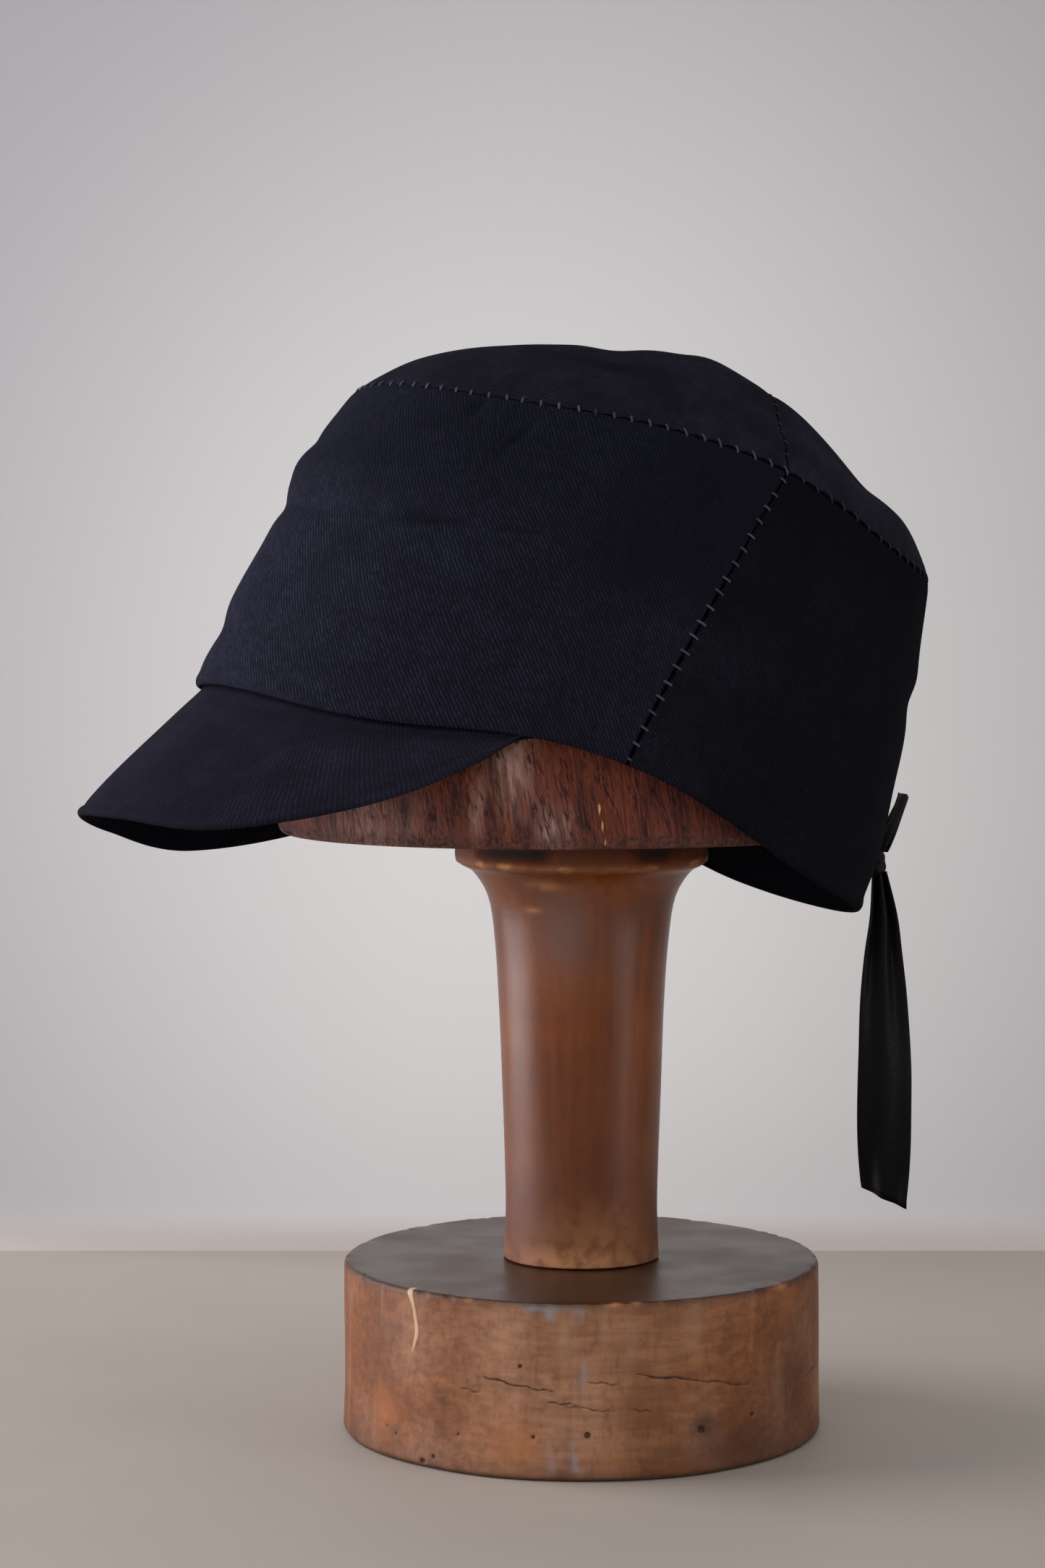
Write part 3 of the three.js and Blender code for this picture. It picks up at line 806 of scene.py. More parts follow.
def shell(face, outward, thickness, cloth, **marks):
    """Both skins of a closed cloth wall. They lie half the thickness either side of a middle sheet, and
    near every edge that half follows a quarter circle down to nothing, so that the edge is rounded."""
    half = thickness / 2
    middle = face - outward * half
    bite = np.clip(1 - np.minimum.reduce(edge_runs(face)) / half, 0, 1)
    swell = outward * (half * np.sqrt(1 - bite**2))[..., None]
    # The inner skin is darkened as painted shade: its inside mark is raised to at least the inner shade.
    inner = marks | ({"inside": np.maximum(marks["inside"], INNER_SHADE)} if "inside" in marks else {})
    return [patch(middle + swell, cloth, **marks), patch(middle - swell, cloth, turned=True, **inner)]


def on_stand(points):
    """Cap points in the stand's frame: tilted to the right about Y, then back about X, then seated."""
    x, y, z = np.moveaxis(points, -1, 0)
    right, back = np.radians(-CAP_TILT_RIGHT), np.radians(-CAP_TILT_BACK)
    x, z = x * np.cos(right) + z * np.sin(right), z * np.cos(right) - x * np.sin(right)
    y, z = y * np.cos(back) - z * np.sin(back), y * np.sin(back) + z * np.cos(back)
    return np.stack([x, y, z], -1) + CAP_SEAT


def cap_piece(name, patches, material):
    """A piece made in the cap's own frame, seated on the stand."""
    for p in patches:
        p["points"] = on_stand(p["points"])
    return write_piece(name, patches, material)


# Crown
RING_ANGLES = np.linspace(-2 * np.pi, 2 * np.pi, 1441)


def ring_arcs(row):
    """Length round one ring of the wall, counted from the front, at every listed angle."""
    step = np.hypot(*(np.diff(side) for side in oval(*row, RING_ANGLES)))
    run = np.insert(np.cumsum(step), 0, 0)
    return run - run[len(run) // 2]


WALL_ARCS = ring_arcs(WALL_ROWS[2])
SEAM_ARCS = ring_arcs(WALL_ROWS[-1])
TOP_CENTRE = (WALL_ROWS[-1][0] + WALL_ROWS[-1][1]) / 2
TOP_HALF = (WALL_ROWS[-1][1] - WALL_ROWS[-1][0]) / 2
TOP_HALF_WIDTH = WALL_ROWS[-1][2]


def wall_push(angle, height):
    """Broad folds, each a bell of angle and height, and the finer creases."""
    degrees = np.degrees(angle)
    push = np.zeros(np.broadcast(angle, height).shape)
    for middle, level, spread, rise, amount in WALL_FOLDS:
        push += amount * bell(turn_from(degrees, middle), spread) * bell(height - level, rise)
    return push + crease_push(degrees, height)


def crease_push(degrees, height):
    """Finer creases of the wall, each on the flat chart round its own middle."""
    arc = np.radians(1) * WALL_RADIUS
    return sum(creases([(0, 0, *crease)], turn_from(degrees, middle) * arc, (height - level) * WALL_RISE)
               for middle, level, *crease in WALL_CREASES)


def wall_face(angle, height):
    """Outer face of the wall: the oval at a share of the height, climbing from the hem's height to the
    top seam's, with the folds and a faint unevenness pushed outwards in plan."""
    angle, height = np.broadcast_arrays(angle, height)
    front, back, half_width = np.moveaxis(spline(WALL_ROWS, height), -1, 0)
    x, y = oval(front, back, half_width, angle)
    low = height_round(HEM_HEIGHTS, angle)
    z = low + (height_round(SEAM_HEIGHTS, angle) - low) * height
    still = np.stack([x, y, z], -1)
    fade = np.sin(np.pi * np.clip(height, 0, 1)) ** 0.5
    push = wall_push(angle, height) + fade * uneven(still, WALL_UNEVEN)
    swell = 1 + push / np.hypot(x, y)
    return np.stack([x * swell, y * swell, z], -1)


def wall_normal(angle, height):
    """Outward unit normal of the wall: its slope round the cap crossed with its slope up it."""
    step = 1e-3
    round_step = wall_face(angle + step, height) - wall_face(angle - step, height)
    low, high = np.maximum(height - step, 0), np.minimum(height + step, 1)
    return unit(np.cross(round_step, wall_face(angle, high) - wall_face(angle, low)))


def seam_angle(x, y):
    """Angle on the top seam's oval of a plan point, and its reach from the crest (0) to the seam (1)."""
    across = np.abs(x) / TOP_HALF_WIDTH
    ahead = (TOP_CENTRE - y) / TOP_HALF
    reach = np.minimum(1, (across**OVAL_POWER + np.abs(ahead) ** OVAL_POWER) ** (1 / OVAL_POWER))
    fair = np.maximum(reach, 1e-3)
    cosine = power(ahead / fair, OVAL_POWER / 2)
    angle = np.arctan2((across / fair) ** (OVAL_POWER / 2), cosine)
    return np.where(x < 0, -angle, angle), reach


def top_face(x, y):
    """Outer face of the top over a plan point: rings of the top seam's oval close in on the crest, and the
    climb blends the front or back share with the side share by the squared cosine and sine."""
    x, y = np.broadcast_arrays(x, y)
    angle, reach = seam_angle(x, y)
    front, side, back = np.moveaxis(spline(DOME_ROWS, 1 - reach**2), -1, 0)
    cosine = np.cos(angle)
    climb = np.where(cosine > 0, front, back) * cosine**2 + side * (1 - cosine**2)
    low = height_round(SEAM_HEIGHTS, angle)
    plan = np.stack([x, y], -1)
    dents = creases(TOP_DENTS, x, y) + creases(TOP_CREASES, x, y)
    dents += uneven(plan, TOP_UNEVEN)
    return np.stack([x, y, low + (CREST_HEIGHT - low) * climb + dents * (1 - reach**4)], -1)


def top_normal(x, y):
    """Upward unit normal of the top, taken just inside the seam: its slope across crossed with its slope
    back."""
    inset, step = 0.985, 0.5
    x, y = x * inset, TOP_CENTRE + (y - TOP_CENTRE) * inset
    across = top_face(x + step, y) - top_face(x - step, y)
    return unit(np.cross(across, top_face(x, y + step) - top_face(x, y - step)))


def seam_mitre(angle):
    """Outward direction on the top seam halfway between wall and top, long enough to span both walls."""
    x, y = oval(*WALL_ROWS[-1], angle)
    wall = wall_normal(angle, np.ones_like(angle))
    mitre = unit(wall + top_normal(x, y))
    return mitre / (mitre * wall).sum(-1, keepdims=True)


def side_seam(height):
    """Angle of the left side seam at a share of the height: its y moves back as the height to a power."""
    front, back, _ = np.moveaxis(spline(WALL_ROWS, height), -1, 0)
    y = SIDE_SEAM_HEM_Y + (SIDE_SEAM_TOP_Y - SIDE_SEAM_HEM_Y) * np.clip(height, 0, 1) ** SIDE_SEAM_BEND
    ahead = ((front + back) / 2 - y) / ((back - front) / 2)
    return np.arccos(power(ahead, OVAL_POWER / 2))


JUNCTION = float(side_seam(np.ones(1))[0])
JUNCTION_X = float(oval(*WALL_ROWS[-1], JUNCTION)[0])


def cross_seam(x):
    """Plan y of the seam over the top: it bows forward as a parabola between the two junctions."""
    return SIDE_SEAM_TOP_Y - CROSS_SEAM_BOW * (1 - (x / JUNCTION_X) ** 2)


def even_pitch(length, pitch):
    """Pitch nearest to the one given that divides a length into whole stitches."""
    return length / round(length / pitch)


def seam_run(angle):
    """Stitches along the top seam from the nearer junction, the same on both sides of the cap: the length
    round the seam over a pitch that fits whole stitches in front of the junction and behind it."""
    junction, back = (np.interp(a, RING_ANGLES, SEAM_ARCS) for a in (JUNCTION, np.pi))
    run = np.interp(off_front(angle), RING_ANGLES, SEAM_ARCS) - junction
    front_pitch, back_pitch = (even_pitch(part, STITCH_PITCH) for part in (junction, back - junction))
    return np.where(run < 0, run / front_pitch, run / back_pitch)


def seam_sink(distance, stitches):
    """How far a seam draws the cloth in: a bell of the distance, deeper at every whole stitch."""
    pull = 1 + STITCH_PULL * np.cos(2 * np.pi * stitches)
    return SEAM_DEPTH * pull * bell(distance, SEAM_REACH)


def groove_marks(*seams):
    """Marks of the painted shade in the seams' grooves, from the distance, stitch count and width of each
    seam: nearness falls from 1 in the groove to 0 at a few of its widths, and the stitch count is that of the
    nearest seam."""
    reach = np.stack([distance / (width * SEAM_SHADE * GROOVE_LIMIT) for distance, _, width in seams])
    nearest = reach.argmin(0)[None]
    counts = np.stack([stitches for _, stitches, _ in seams])
    count = np.take_along_axis(counts, nearest, 0)[0]
    return {"near": (1 - reach.min(0)).clip(0), "stitch": count}


def top_groove(angle):
    """Width of the groove along the top seam: thin in front, fuller up to the side seams and behind."""
    turned = off_front(angle)
    ahead = TOP_GROOVE_GAIN * ramp(turned, TOP_GROOVE_START, JUNCTION)
    return TOP_GROOVE + ahead + BACK_GROOVE_GAIN * ramp(turned, JUNCTION, JUNCTION + BACK_GROOVE_TURN)


def wall_fresh(front, degrees, height, side_run):
    """Painted shade on the wall: in front by the side seams and high up, behind away from them and high up,
    and everywhere in the creases."""
    if front:
        near_seam = 1 - ramp(side_run, *FRONT_SEAM_RUN)
        near_seam = near_seam * (FRONT_SEAM_LEAST + ramps(height, FRONT_SEAM_RISE))
        fresh = np.maximum(near_seam, ramps(height, FRONT_UPPER))
    else:
        fresh = np.maximum(ramps(side_run, BACK_SEAM_RUN), ramps(height, BACK_UPPER))
    return np.maximum(fresh, ramp(-crease_push(degrees, height), *WALL_CREASE_SHADE))


def wall_panel(front):
    """Front or back of the wall between the side seams: a grid of shares round and up, drawn in along both
    side seams and the top seam, with the offset turned to the seam's mitre close to the top seam."""
    height = spaced(WALL_RISE, WALL_STEP)[:, None]
    share = spaced(FRONT_GIRTH if front else BACK_GIRTH, PANEL_STEP)[None, :]
    seam = side_seam(height)
    start, end = (-seam, seam) if front else (seam, 2 * np.pi - seam)
    angle = start * (1 - share) + end * share
    face = wall_face(angle, height)
    height = np.broadcast_to(height, angle.shape)
    outward = wall_normal(angle, height)
    hem_run, top_run, first_run, last_run = edge_runs(face)
    side_run = np.minimum(first_run, last_run)
    mitre = seam_mitre(angle[-1])[None]
    outward = outward + (mitre - outward) * bell(top_run, MITRE_REACH)[..., None]
    side_stitches = height * SIDE_STITCHES - SIDE_STITCH_START
    top_stitches = seam_run(angle)
    sink = np.maximum(seam_sink(side_run, side_stitches), seam_sink(top_run, top_stitches))
    roll = HEM_ROLL * bell(hem_run - HEM_ROLL_RUN, HEM_ROLL_SPREAD)
    face = face + outward * (roll - sink)[..., None]
    cloth = np.stack([np.interp(angle, RING_ANGLES, WALL_ARCS), height * WALL_RISE], -1)
    side_groove = SIDE_GROOVE - ramps(height, SIDE_GROOVE_LOSS)
    grooves = groove_marks((side_run, side_stitches, side_groove), (top_run, top_stitches, top_groove(angle)))
    fresh = wall_fresh(front, np.degrees(angle), height, side_run)
    return shell(face, outward, CLOTH, cloth, inside=np.zeros_like(height), fresh=fresh, **grooves)


def coons(bottom, top, left, right, across, up):
    """Grid inside four edge curves: the blend between left and right plus the blend between bottom and
    top, less the blend of the four corners."""
    u, v = across[None, :, None], up[:, None, None]
    sides = left[:, None] * (1 - u) + right[:, None] * u
    ends = bottom[None] * (1 - v) + top[None] * v
    corners = (bottom[0] * (1 - u) + bottom[-1] * u) * (1 - v) + (top[0] * (1 - u) + top[-1] * u) * v
    return sides + ends - corners


def rim_plan(angle):
    """Plan points of the top seam."""
    return np.stack(oval(*WALL_ROWS[-1], angle), -1)


def top_panel(front):
    """Top panel in front of or behind the cross seam: a grid inside the cross seam and three stretches of
    the top seam, drawn in along its edges, with the offset turned to the mitre close to the top seam."""
    corner = np.radians(TOP_CORNER) if front else np.pi - np.radians(TOP_CORNER)
    across = spaced(2 * JUNCTION_X, PANEL_STEP)
    up = spaced(TOP_FRONT_DEPTH if front else TOP_BACK_DEPTH, PANEL_STEP)
    x = JUNCTION_X * (2 * across - 1)
    cross = np.stack([x, cross_seam(x)], -1)
    if front:
        flank = corner + (JUNCTION - corner) * up
        rim = rim_plan(corner * (2 * across - 1))
        plan = coons(rim, cross, rim_plan(-flank), rim_plan(flank), across, up)
    else:
        flank = JUNCTION + (corner - JUNCTION) * up
        rim = rim_plan(-corner - 2 * (np.pi - corner) * across)
        plan = coons(cross, rim, rim_plan(-flank), rim_plan(flank), across, up)
    x, y = plan[..., 0], plan[..., 1]
    face = top_face(x, y)
    first_row, last_row, first_column, last_column = edge_runs(face)
    cross_run, rim_row = (last_row, first_row) if front else (first_row, last_row)
    rim_run = np.minimum.reduce([rim_row, first_column, last_column])
    angle, _ = seam_angle(x, y)
    outward = top_normal(x, y)
    near = rim_run < MITRE_LIMIT
    outward[near] += (seam_mitre(angle[near]) - outward[near]) * bell(rim_run[near], MITRE_REACH)[:, None]
    cross_stitches = (x + JUNCTION_X) / even_pitch(2 * JUNCTION_X, STITCH_PITCH)
    rim_stitches = seam_run(angle)
    sink = np.maximum(seam_sink(cross_run, cross_stitches), seam_sink(rim_run, rim_stitches))
    rim_groove = (rim_run, rim_stitches, top_groove(angle))
    grooves = groove_marks((cross_run, cross_stitches, np.full_like(x, CROSS_GROOVE)), rim_groove)
    # Painted shade on the top: in bands across it and in its creases.
    bands = sum(strength * bell(y - middle, spread) for middle, spread, strength in TOP_SHADE_BANDS)
    fresh = np.maximum(bands, ramp(-creases(TOP_CREASES, x, y), *TOP_CREASE_SHADE))
    face = face - outward * sink[..., None]
    return shell(face, outward, CLOTH, plan, inside=np.zeros_like(x), fresh=fresh, **grooves)


# Peak
def peak_edge(side):
    """Free edge from the right corner (-1) to the left one (1). The lean lifts the left, drops the right."""
    left = np.array(PEAK_EDGE, float)
    right = left[:0:-1] * (-1, 1, 1, -1)
    rows = np.vstack([right, left])
    x, y, z, lean = np.moveaxis(spline(rows, (side + 1) / 2), -1, 0)
    return np.stack([x, y, z + lean], -1)


def peak_face(side, share):
    """Upper face of the peak: straight ribs from under the hem to the free edge, shortened towards the two
    corners, which slip up behind the hem, and swelled outwards by a parabola that dies out there. Behind the
    hem it runs straight up."""
    angle = side * np.radians(PEAK_CORNER_ANGLE)
    foot = np.zeros_like(angle)
    root = wall_face(angle, foot) - wall_normal(angle, foot) * PEAK_INSET - (0, 0, PEAK_DROP)
    outward = unit(np.stack([np.sin(angle), -np.cos(angle), np.full_like(angle, PEAK_BULGE_LIFT)], -1))
    swell = PEAK_BULGE * 4 * share.clip(0) * (1 - share) * (PEAK_BULGE_START + share) * (1 - side**4)
    depth = share.clip(0) * (1 - PEAK_CORNER_CLOSE * bell(1 - np.abs(side), PEAK_TAPER))
    rise = PEAK_CORNER_RISE * bell(1 - np.abs(side), PEAK_TAPER) - PEAK_TUCK_RISE * share.clip(None, 0)
    tuck = rise[..., None] * (0, 0, 1)
    return root + (peak_edge(side) - root) * depth[..., None] + outward * swell[..., None] + tuck


def peak_shell():
    """Peak from its free edge up to a tuck behind the hem, with pressed creases and a raised rim."""
    side = 2 * spaced(2 * PEAK_HALF_ARC, PEAK_STEP_ROUND) - 1
    share = 1 - spaced(PEAK_DEPTH, PEAK_STEP_DOWN) * (1 + PEAK_TUCK)
    side, share = np.broadcast_arrays(side[None, :], share[:, None])
    face = peak_face(side, share)
    outward = facing(face)
    along, up = side * PEAK_HALF_ARC, share * PEAK_DEPTH
    rows = [(x * PEAK_HALF_ARC, y * PEAK_DEPTH, *crease) for x, y, *crease in PEAK_CREASES]
    folds = creases(rows, along, up)
    push = folds + uneven(face, PEAK_UNEVEN) * ramp(share, 0, 0.2)
    edge_run = edge_runs(face)[0]
    rim = bell(edge_run - PEAK_RIM, PEAK_RIM_SPREAD)
    push += PEAK_RIM_RISE * (rim - bell(edge_run - PEAK_RIM_GROOVE, PEAK_GROOVE_SPREAD))
    # Painted shade: the tuck behind the hem is shaded as the inside is, and a band under the hem, the middle
    # of the peak and its creases are darkened.
    tucked = 1 - ramp(share, -0.01, 0.02)
    root = PEAK_ROOT_SHADE * bell(share - PEAK_ROOT_BAND, PEAK_ROOT_BAND)
    middle = PEAK_MIDDLE_SHADE * (1 - ramp(np.abs(side), *PEAK_MIDDLE))
    fresh = np.maximum.reduce([middle, ramp(-folds, *PEAK_CREASE_SHADE), root])
    cloth = np.stack([along, up], -1)
    face = face + outward * push[..., None]
    return shell(face, outward, PEAK_THICKNESS, cloth, inside=tucked, fresh=fresh)


# Sewing
def thread_bars(feet, ends, outward, radius, lift, sink, strands=(0,), tone=1.0):
    """Short bars of thread. A path runs straight from foot to end, lifted by the root of a half sine wave
    less a sink, so that both ends dive into the cloth. Strands lie side by side on it, and each bar is
    round and closes to a point where it is buried."""
    steps, sides = 12, 7
    t = np.linspace(0, 1, steps)
    rise = lift * np.sqrt(np.sin(np.pi * t).clip(0)) - sink
    path = feet[:, None] + (ends - feet)[:, None] * t[:, None] + outward[:, None] * rise[:, None]
    along = unit(np.gradient(path, axis=1))
    beside = unit(np.cross(along, outward[:, None]))
    above = np.cross(beside, along)
    turn = closed_turn(sides)
    ring = beside[:, :, None] * np.cos(turn)[:, None] + above[:, :, None] * np.sin(turn)[:, None]
    thick = radius * np.sqrt(1 - np.abs(2 * t - 1) ** 6)[:, None, None]
    length = np.linalg.norm(ends - feet, axis=-1)
    round_share = np.linspace(0, 1, sides + 1)[None, None]
    cloth = np.stack(np.broadcast_arrays(round_share, (length[:, None] * t)[..., None]), -1)
    tone = np.broadcast_to(np.reshape(tone, (-1, 1, 1)), cloth.shape[:-1])
    return [
        patch((path + beside * strand * radius)[:, :, None] + ring * thick, cloth, turned=True, tone=tone)
        for strand in strands
    ]


def seam_stitches(first, second, outward, draw, tone):
    """Whip stitches between matching feet on the two sides of a seam, each a little off its place and its
    tone."""
    count = len(first)
    wander = unit(second - first) * draw.normal(0, STITCH_WANDER, (count, 1))
    along = unit(np.cross(outward, second - first)) * draw.normal(0, STITCH_SLIP, (count, 1))
    tone = (tone * (1 + draw.normal(0, TONE_SPREAD, count))).clip(LEAST_TONE, 1)
    return thread_bars(first + along - wander, second + along * 0.5 + wander, outward,
                       THREAD_RADIUS, STITCH_LIFT, STITCH_SINK, STRANDS, tone)


def top_seam_stitches(draw):
    """Stitches round the top seam at every whole count of its run, their upper feet led forward."""
    fine = np.linspace(-np.pi, np.pi, 4001)
    run = seam_run(np.abs(fine))
    counts = np.floor(run)
    angle = (fine[1:] + fine[:-1])[np.diff(counts) != 0] / 2
    lean = TOP_STITCH_LEAN / TOP_HALF_WIDTH * np.sign(angle)
    ahead = 1 - ramp(np.abs(angle), 0.5, JUNCTION)
    reach = STITCH_REACH * (1 - FRONT_STITCH_LOSS * ahead)
    low = wall_face(angle, 1 - reach / WALL_RISE)
    rim = rim_plan(angle - lean)
    inner = 1 - reach / TOP_HALF_WIDTH
    high = top_face(rim[:, 0] * inner, TOP_CENTRE + (rim[:, 1] - TOP_CENTRE) * inner)
    # Painted shade: the stitches behind the junction are near black.
    tone = np.where(np.abs(angle) < JUNCTION + 0.05, TOP_STITCH_TONE, BACK_STITCH_SHADE_TONE)
    return seam_stitches(low, high, unit(seam_mitre(angle)), draw, tone)


def side_seam_stitches(draw, mirror):
    """Stitches up a side seam, evenly spaced, each falling a little towards the back, longest and palest
    near the middle."""
    height = (np.arange(SIDE_STITCHES) + SIDE_STITCH_START) / SIDE_STITCHES
    angle = side_seam(height) * mirror
    middle = bell(height - SIDE_MIDDLE, SIDE_MIDDLE_SPREAD)
    reach, tone = (least + gain * middle for least, gain in (SIDE_STITCH_REACH, SIDE_STITCH_TONE))
    reach = STITCH_REACH * reach / WALL_RADIUS * mirror
    lean = SIDE_STITCH_LEAN / WALL_RISE
    first = wall_face(angle - reach, height + lean)
    second = wall_face(angle + reach, height - lean)
    return seam_stitches(first, second, wall_normal(angle, height), draw, tone)


def cross_seam_stitches(draw):
    """Stitches along the seam over the top, fore and aft across it."""
    count = round(2 * JUNCTION_X / STITCH_PITCH)
    x = JUNCTION_X * (2 * np.arange(1, count) / count - 1)
    y = cross_seam(x)
    reach = CROSS_STITCH_REACH * STITCH_REACH
    outward = top_normal(x, y)
    first, second = (top_face(x, y + way * reach) - outward * CROSS_STITCH_DROP for way in (-1, 1))
    return seam_stitches(first, second, outward, draw, CROSS_STITCH_TONE)


def lint(draw):
    """A few loose fibres lying on the wall of the crown: thin bars between two near points on its face."""
    angle = np.radians(draw.uniform(-95, 265, LINT_COUNT))
    height = draw.uniform(0.05, 0.95, LINT_COUNT)
    turn = draw.uniform(0, np.pi, LINT_COUNT)
    reach = draw.uniform(0.5, 1.5, LINT_COUNT)
    feet = wall_face(angle, height)
    ends = wall_face(angle + reach * np.cos(turn) / WALL_RADIUS, height + reach * np.sin(turn) / WALL_RISE)
    return thread_bars(feet, ends, wall_normal(angle, height), LINT_RADIUS, LINT_LIFT, LINT_SINK)


# Ribbon
def ribbon(rows, width, slant, steps):
    """Ribbon of constant width, gathered where its span is less: across it a double cosine fold takes up
    the width, and along it the middle line and the turn of the section follow the table."""
    across = spaced(width, RIBBON_STEP, RIBBON_EDGE_STEPS) - 0.5
    share = np.linspace(0, 1, steps)[:, None]
    share = share + slant * across[None] * share
    y, z, span, turn = np.moveaxis(spline(rows, share.clip(0, 1)), -1, 0)
    over = (share - 1).clip(0)
    z = z + over * (rows[-1][1] - rows[-2][1]) * (len(rows) - 1)
    turn = np.radians(turn)
    fold = np.sqrt(np.maximum(width**2 - span**2, 0)) / 4
    depth = RIBBON_FOLD * fold * np.cos(4 * np.pi * across) + RIBBON_CUP * span * (1 - 4 * across**2)
    level = np.zeros_like(turn)
    way = np.stack([-np.sin(turn), np.cos(turn), level], -1)
    front = np.stack([np.cos(turn), np.sin(turn), level], -1)
    face = np.stack([level, y, z], -1) + way * (span * across)[..., None] + front * depth[..., None]
    length = np.abs(np.diff([row[1] for row in rows]).sum())
    cloth = np.stack(np.broadcast_arrays(across * width, share * length), -1)
    return shell(face, facing(face), RIBBON_THICKNESS, cloth)


def knot():
    """Knot: an egg whose radius swells and dips as one band of ribbon wraps round it on a slant and
    another crosses it upright."""
    turn = closed_turn(72)
    lift = np.linspace(-np.pi / 2, np.pi / 2, 49)[:, None]
    level = np.cos(lift)
    way = np.stack(np.broadcast_arrays(level * np.cos(turn), level * np.sin(turn), np.sin(lift)), -1)
    slant = way @ unit(KNOT_SLANT)
    rise, strands, spread = KNOT_STRANDS
    swell = rise * np.cos(strands * slant) * bell(slant, spread)
    for axis, depth, place, width in KNOT_DIPS:
        swell = swell - depth * bell(np.abs(way @ unit(axis)) - place, width)
    points = KNOT_PLACE + way * KNOT_RADII * (KNOT_SHRINK + swell)[..., None]
    cloth = np.stack(np.broadcast_arrays(turn * KNOT_CHART[0], lift * KNOT_CHART[1]), -1)
    return [patch(points, cloth)]


# Stand
def carried(pairs, angle):
    """Pairs of radius and height carried round the axis to every angle."""
    radius, height = pairs[:, 0], pairs[:, 1]
    x, y = np.outer(radius, np.sin(angle)), np.outer(radius, -np.cos(angle))
    return np.stack([x, y, np.outer(height, np.ones_like(angle))], -1)


def turned_points(profile, columns):
    """Grid of a turned piece: every profile point carried round the axis, with its outward direction at
    right angles to the profile."""
    profile = np.asarray(profile, float)
    slope = np.gradient(profile, axis=0)
    outward = unit(np.stack([slope[:, 1], -slope[:, 0]], -1))
    angle = closed_turn(columns)
    return carried(profile, angle), carried(outward, angle), np.degrees(angle)


def corner(middle, radius, start, stop, steps=7):
    """Quarter round of a profile: a circle about its middle from one angle to another."""
    turn = np.radians(np.linspace(start, stop, steps))
    return np.stack([middle[0] + radius * np.cos(turn), middle[1] + radius * np.sin(turn)], -1)


def line(start, stop, steps):
    """Profile points from start up to, but not at, stop."""
    return np.linspace(start, stop, steps, endpoint=False)


def run_gap(degrees, z, radius, table):
    """Distance in millimetres from a narrow run down a side, below zero inside it: across its curved middle
    line less its half width, or beyond its ends, whichever is more."""
    middle, level, half = spline(table, np.linspace(0, 1, 60)).T
    across = np.abs(turn_from(degrees, np.interp(z, level, middle))) * np.radians(1) * radius
    ends = np.maximum(level[0] - z, z - level[-1])
    return np.maximum(across - np.interp(z, level, half), ends).clip(-1, MARK_LIMIT)


def run_rise(gap):
    """How far a pale run stands out at a distance from it: a smooth step across its edge."""
    return RUN_RISE * (1 - ramp(gap, -RUN_EDGE, RUN_EDGE))


def crack_gap(degrees, z):
    """Distance in millimetres from the nearest crack or hole in the base's side, below zero inside it. A
    crack wanders a little about a straight line, and its half width dies out towards its ends."""
    arc = np.radians(1) * BASE_RADIUS
    gap = np.full(z.shape, MARK_LIMIT)
    for first, last, low, high, half in BASE_CRACKS:
        share = (degrees - first) / (last - first)
        inside = np.sqrt(np.clip(4 * share * (1 - share), 0, 1))
        wander = CRACK_SWAY * np.sin(share * 11 + first) + CRACK_SHIVER * np.sin(share * 27 + last)
        beyond = np.maximum(-share, share - 1).clip(0) * (last - first) * arc
        thick = half * (1.15 * inside - 0.15) * (0.8 + 0.2 * np.sin(share * 29 + first))
        gap = np.minimum(gap, np.hypot(z - low - (high - low) * share - wander, beyond) - thick)
    for middle, level, size in BASE_HOLES:
        gap = np.minimum(gap, np.hypot(turn_from(degrees, middle) * arc, z - level) - size)
    return gap


def soft_spots(degrees, z, spots, radius):
    """Sum of bells on a turned side, each with its own spread round the side and up it."""
    mask = np.zeros(z.shape)
    for middle, level, wide, tall, strength in spots:
        along = turn_from(degrees, middle) * np.radians(1) * radius
        mask += strength * bell(along, wide) * bell(z - level, tall)
    return mask


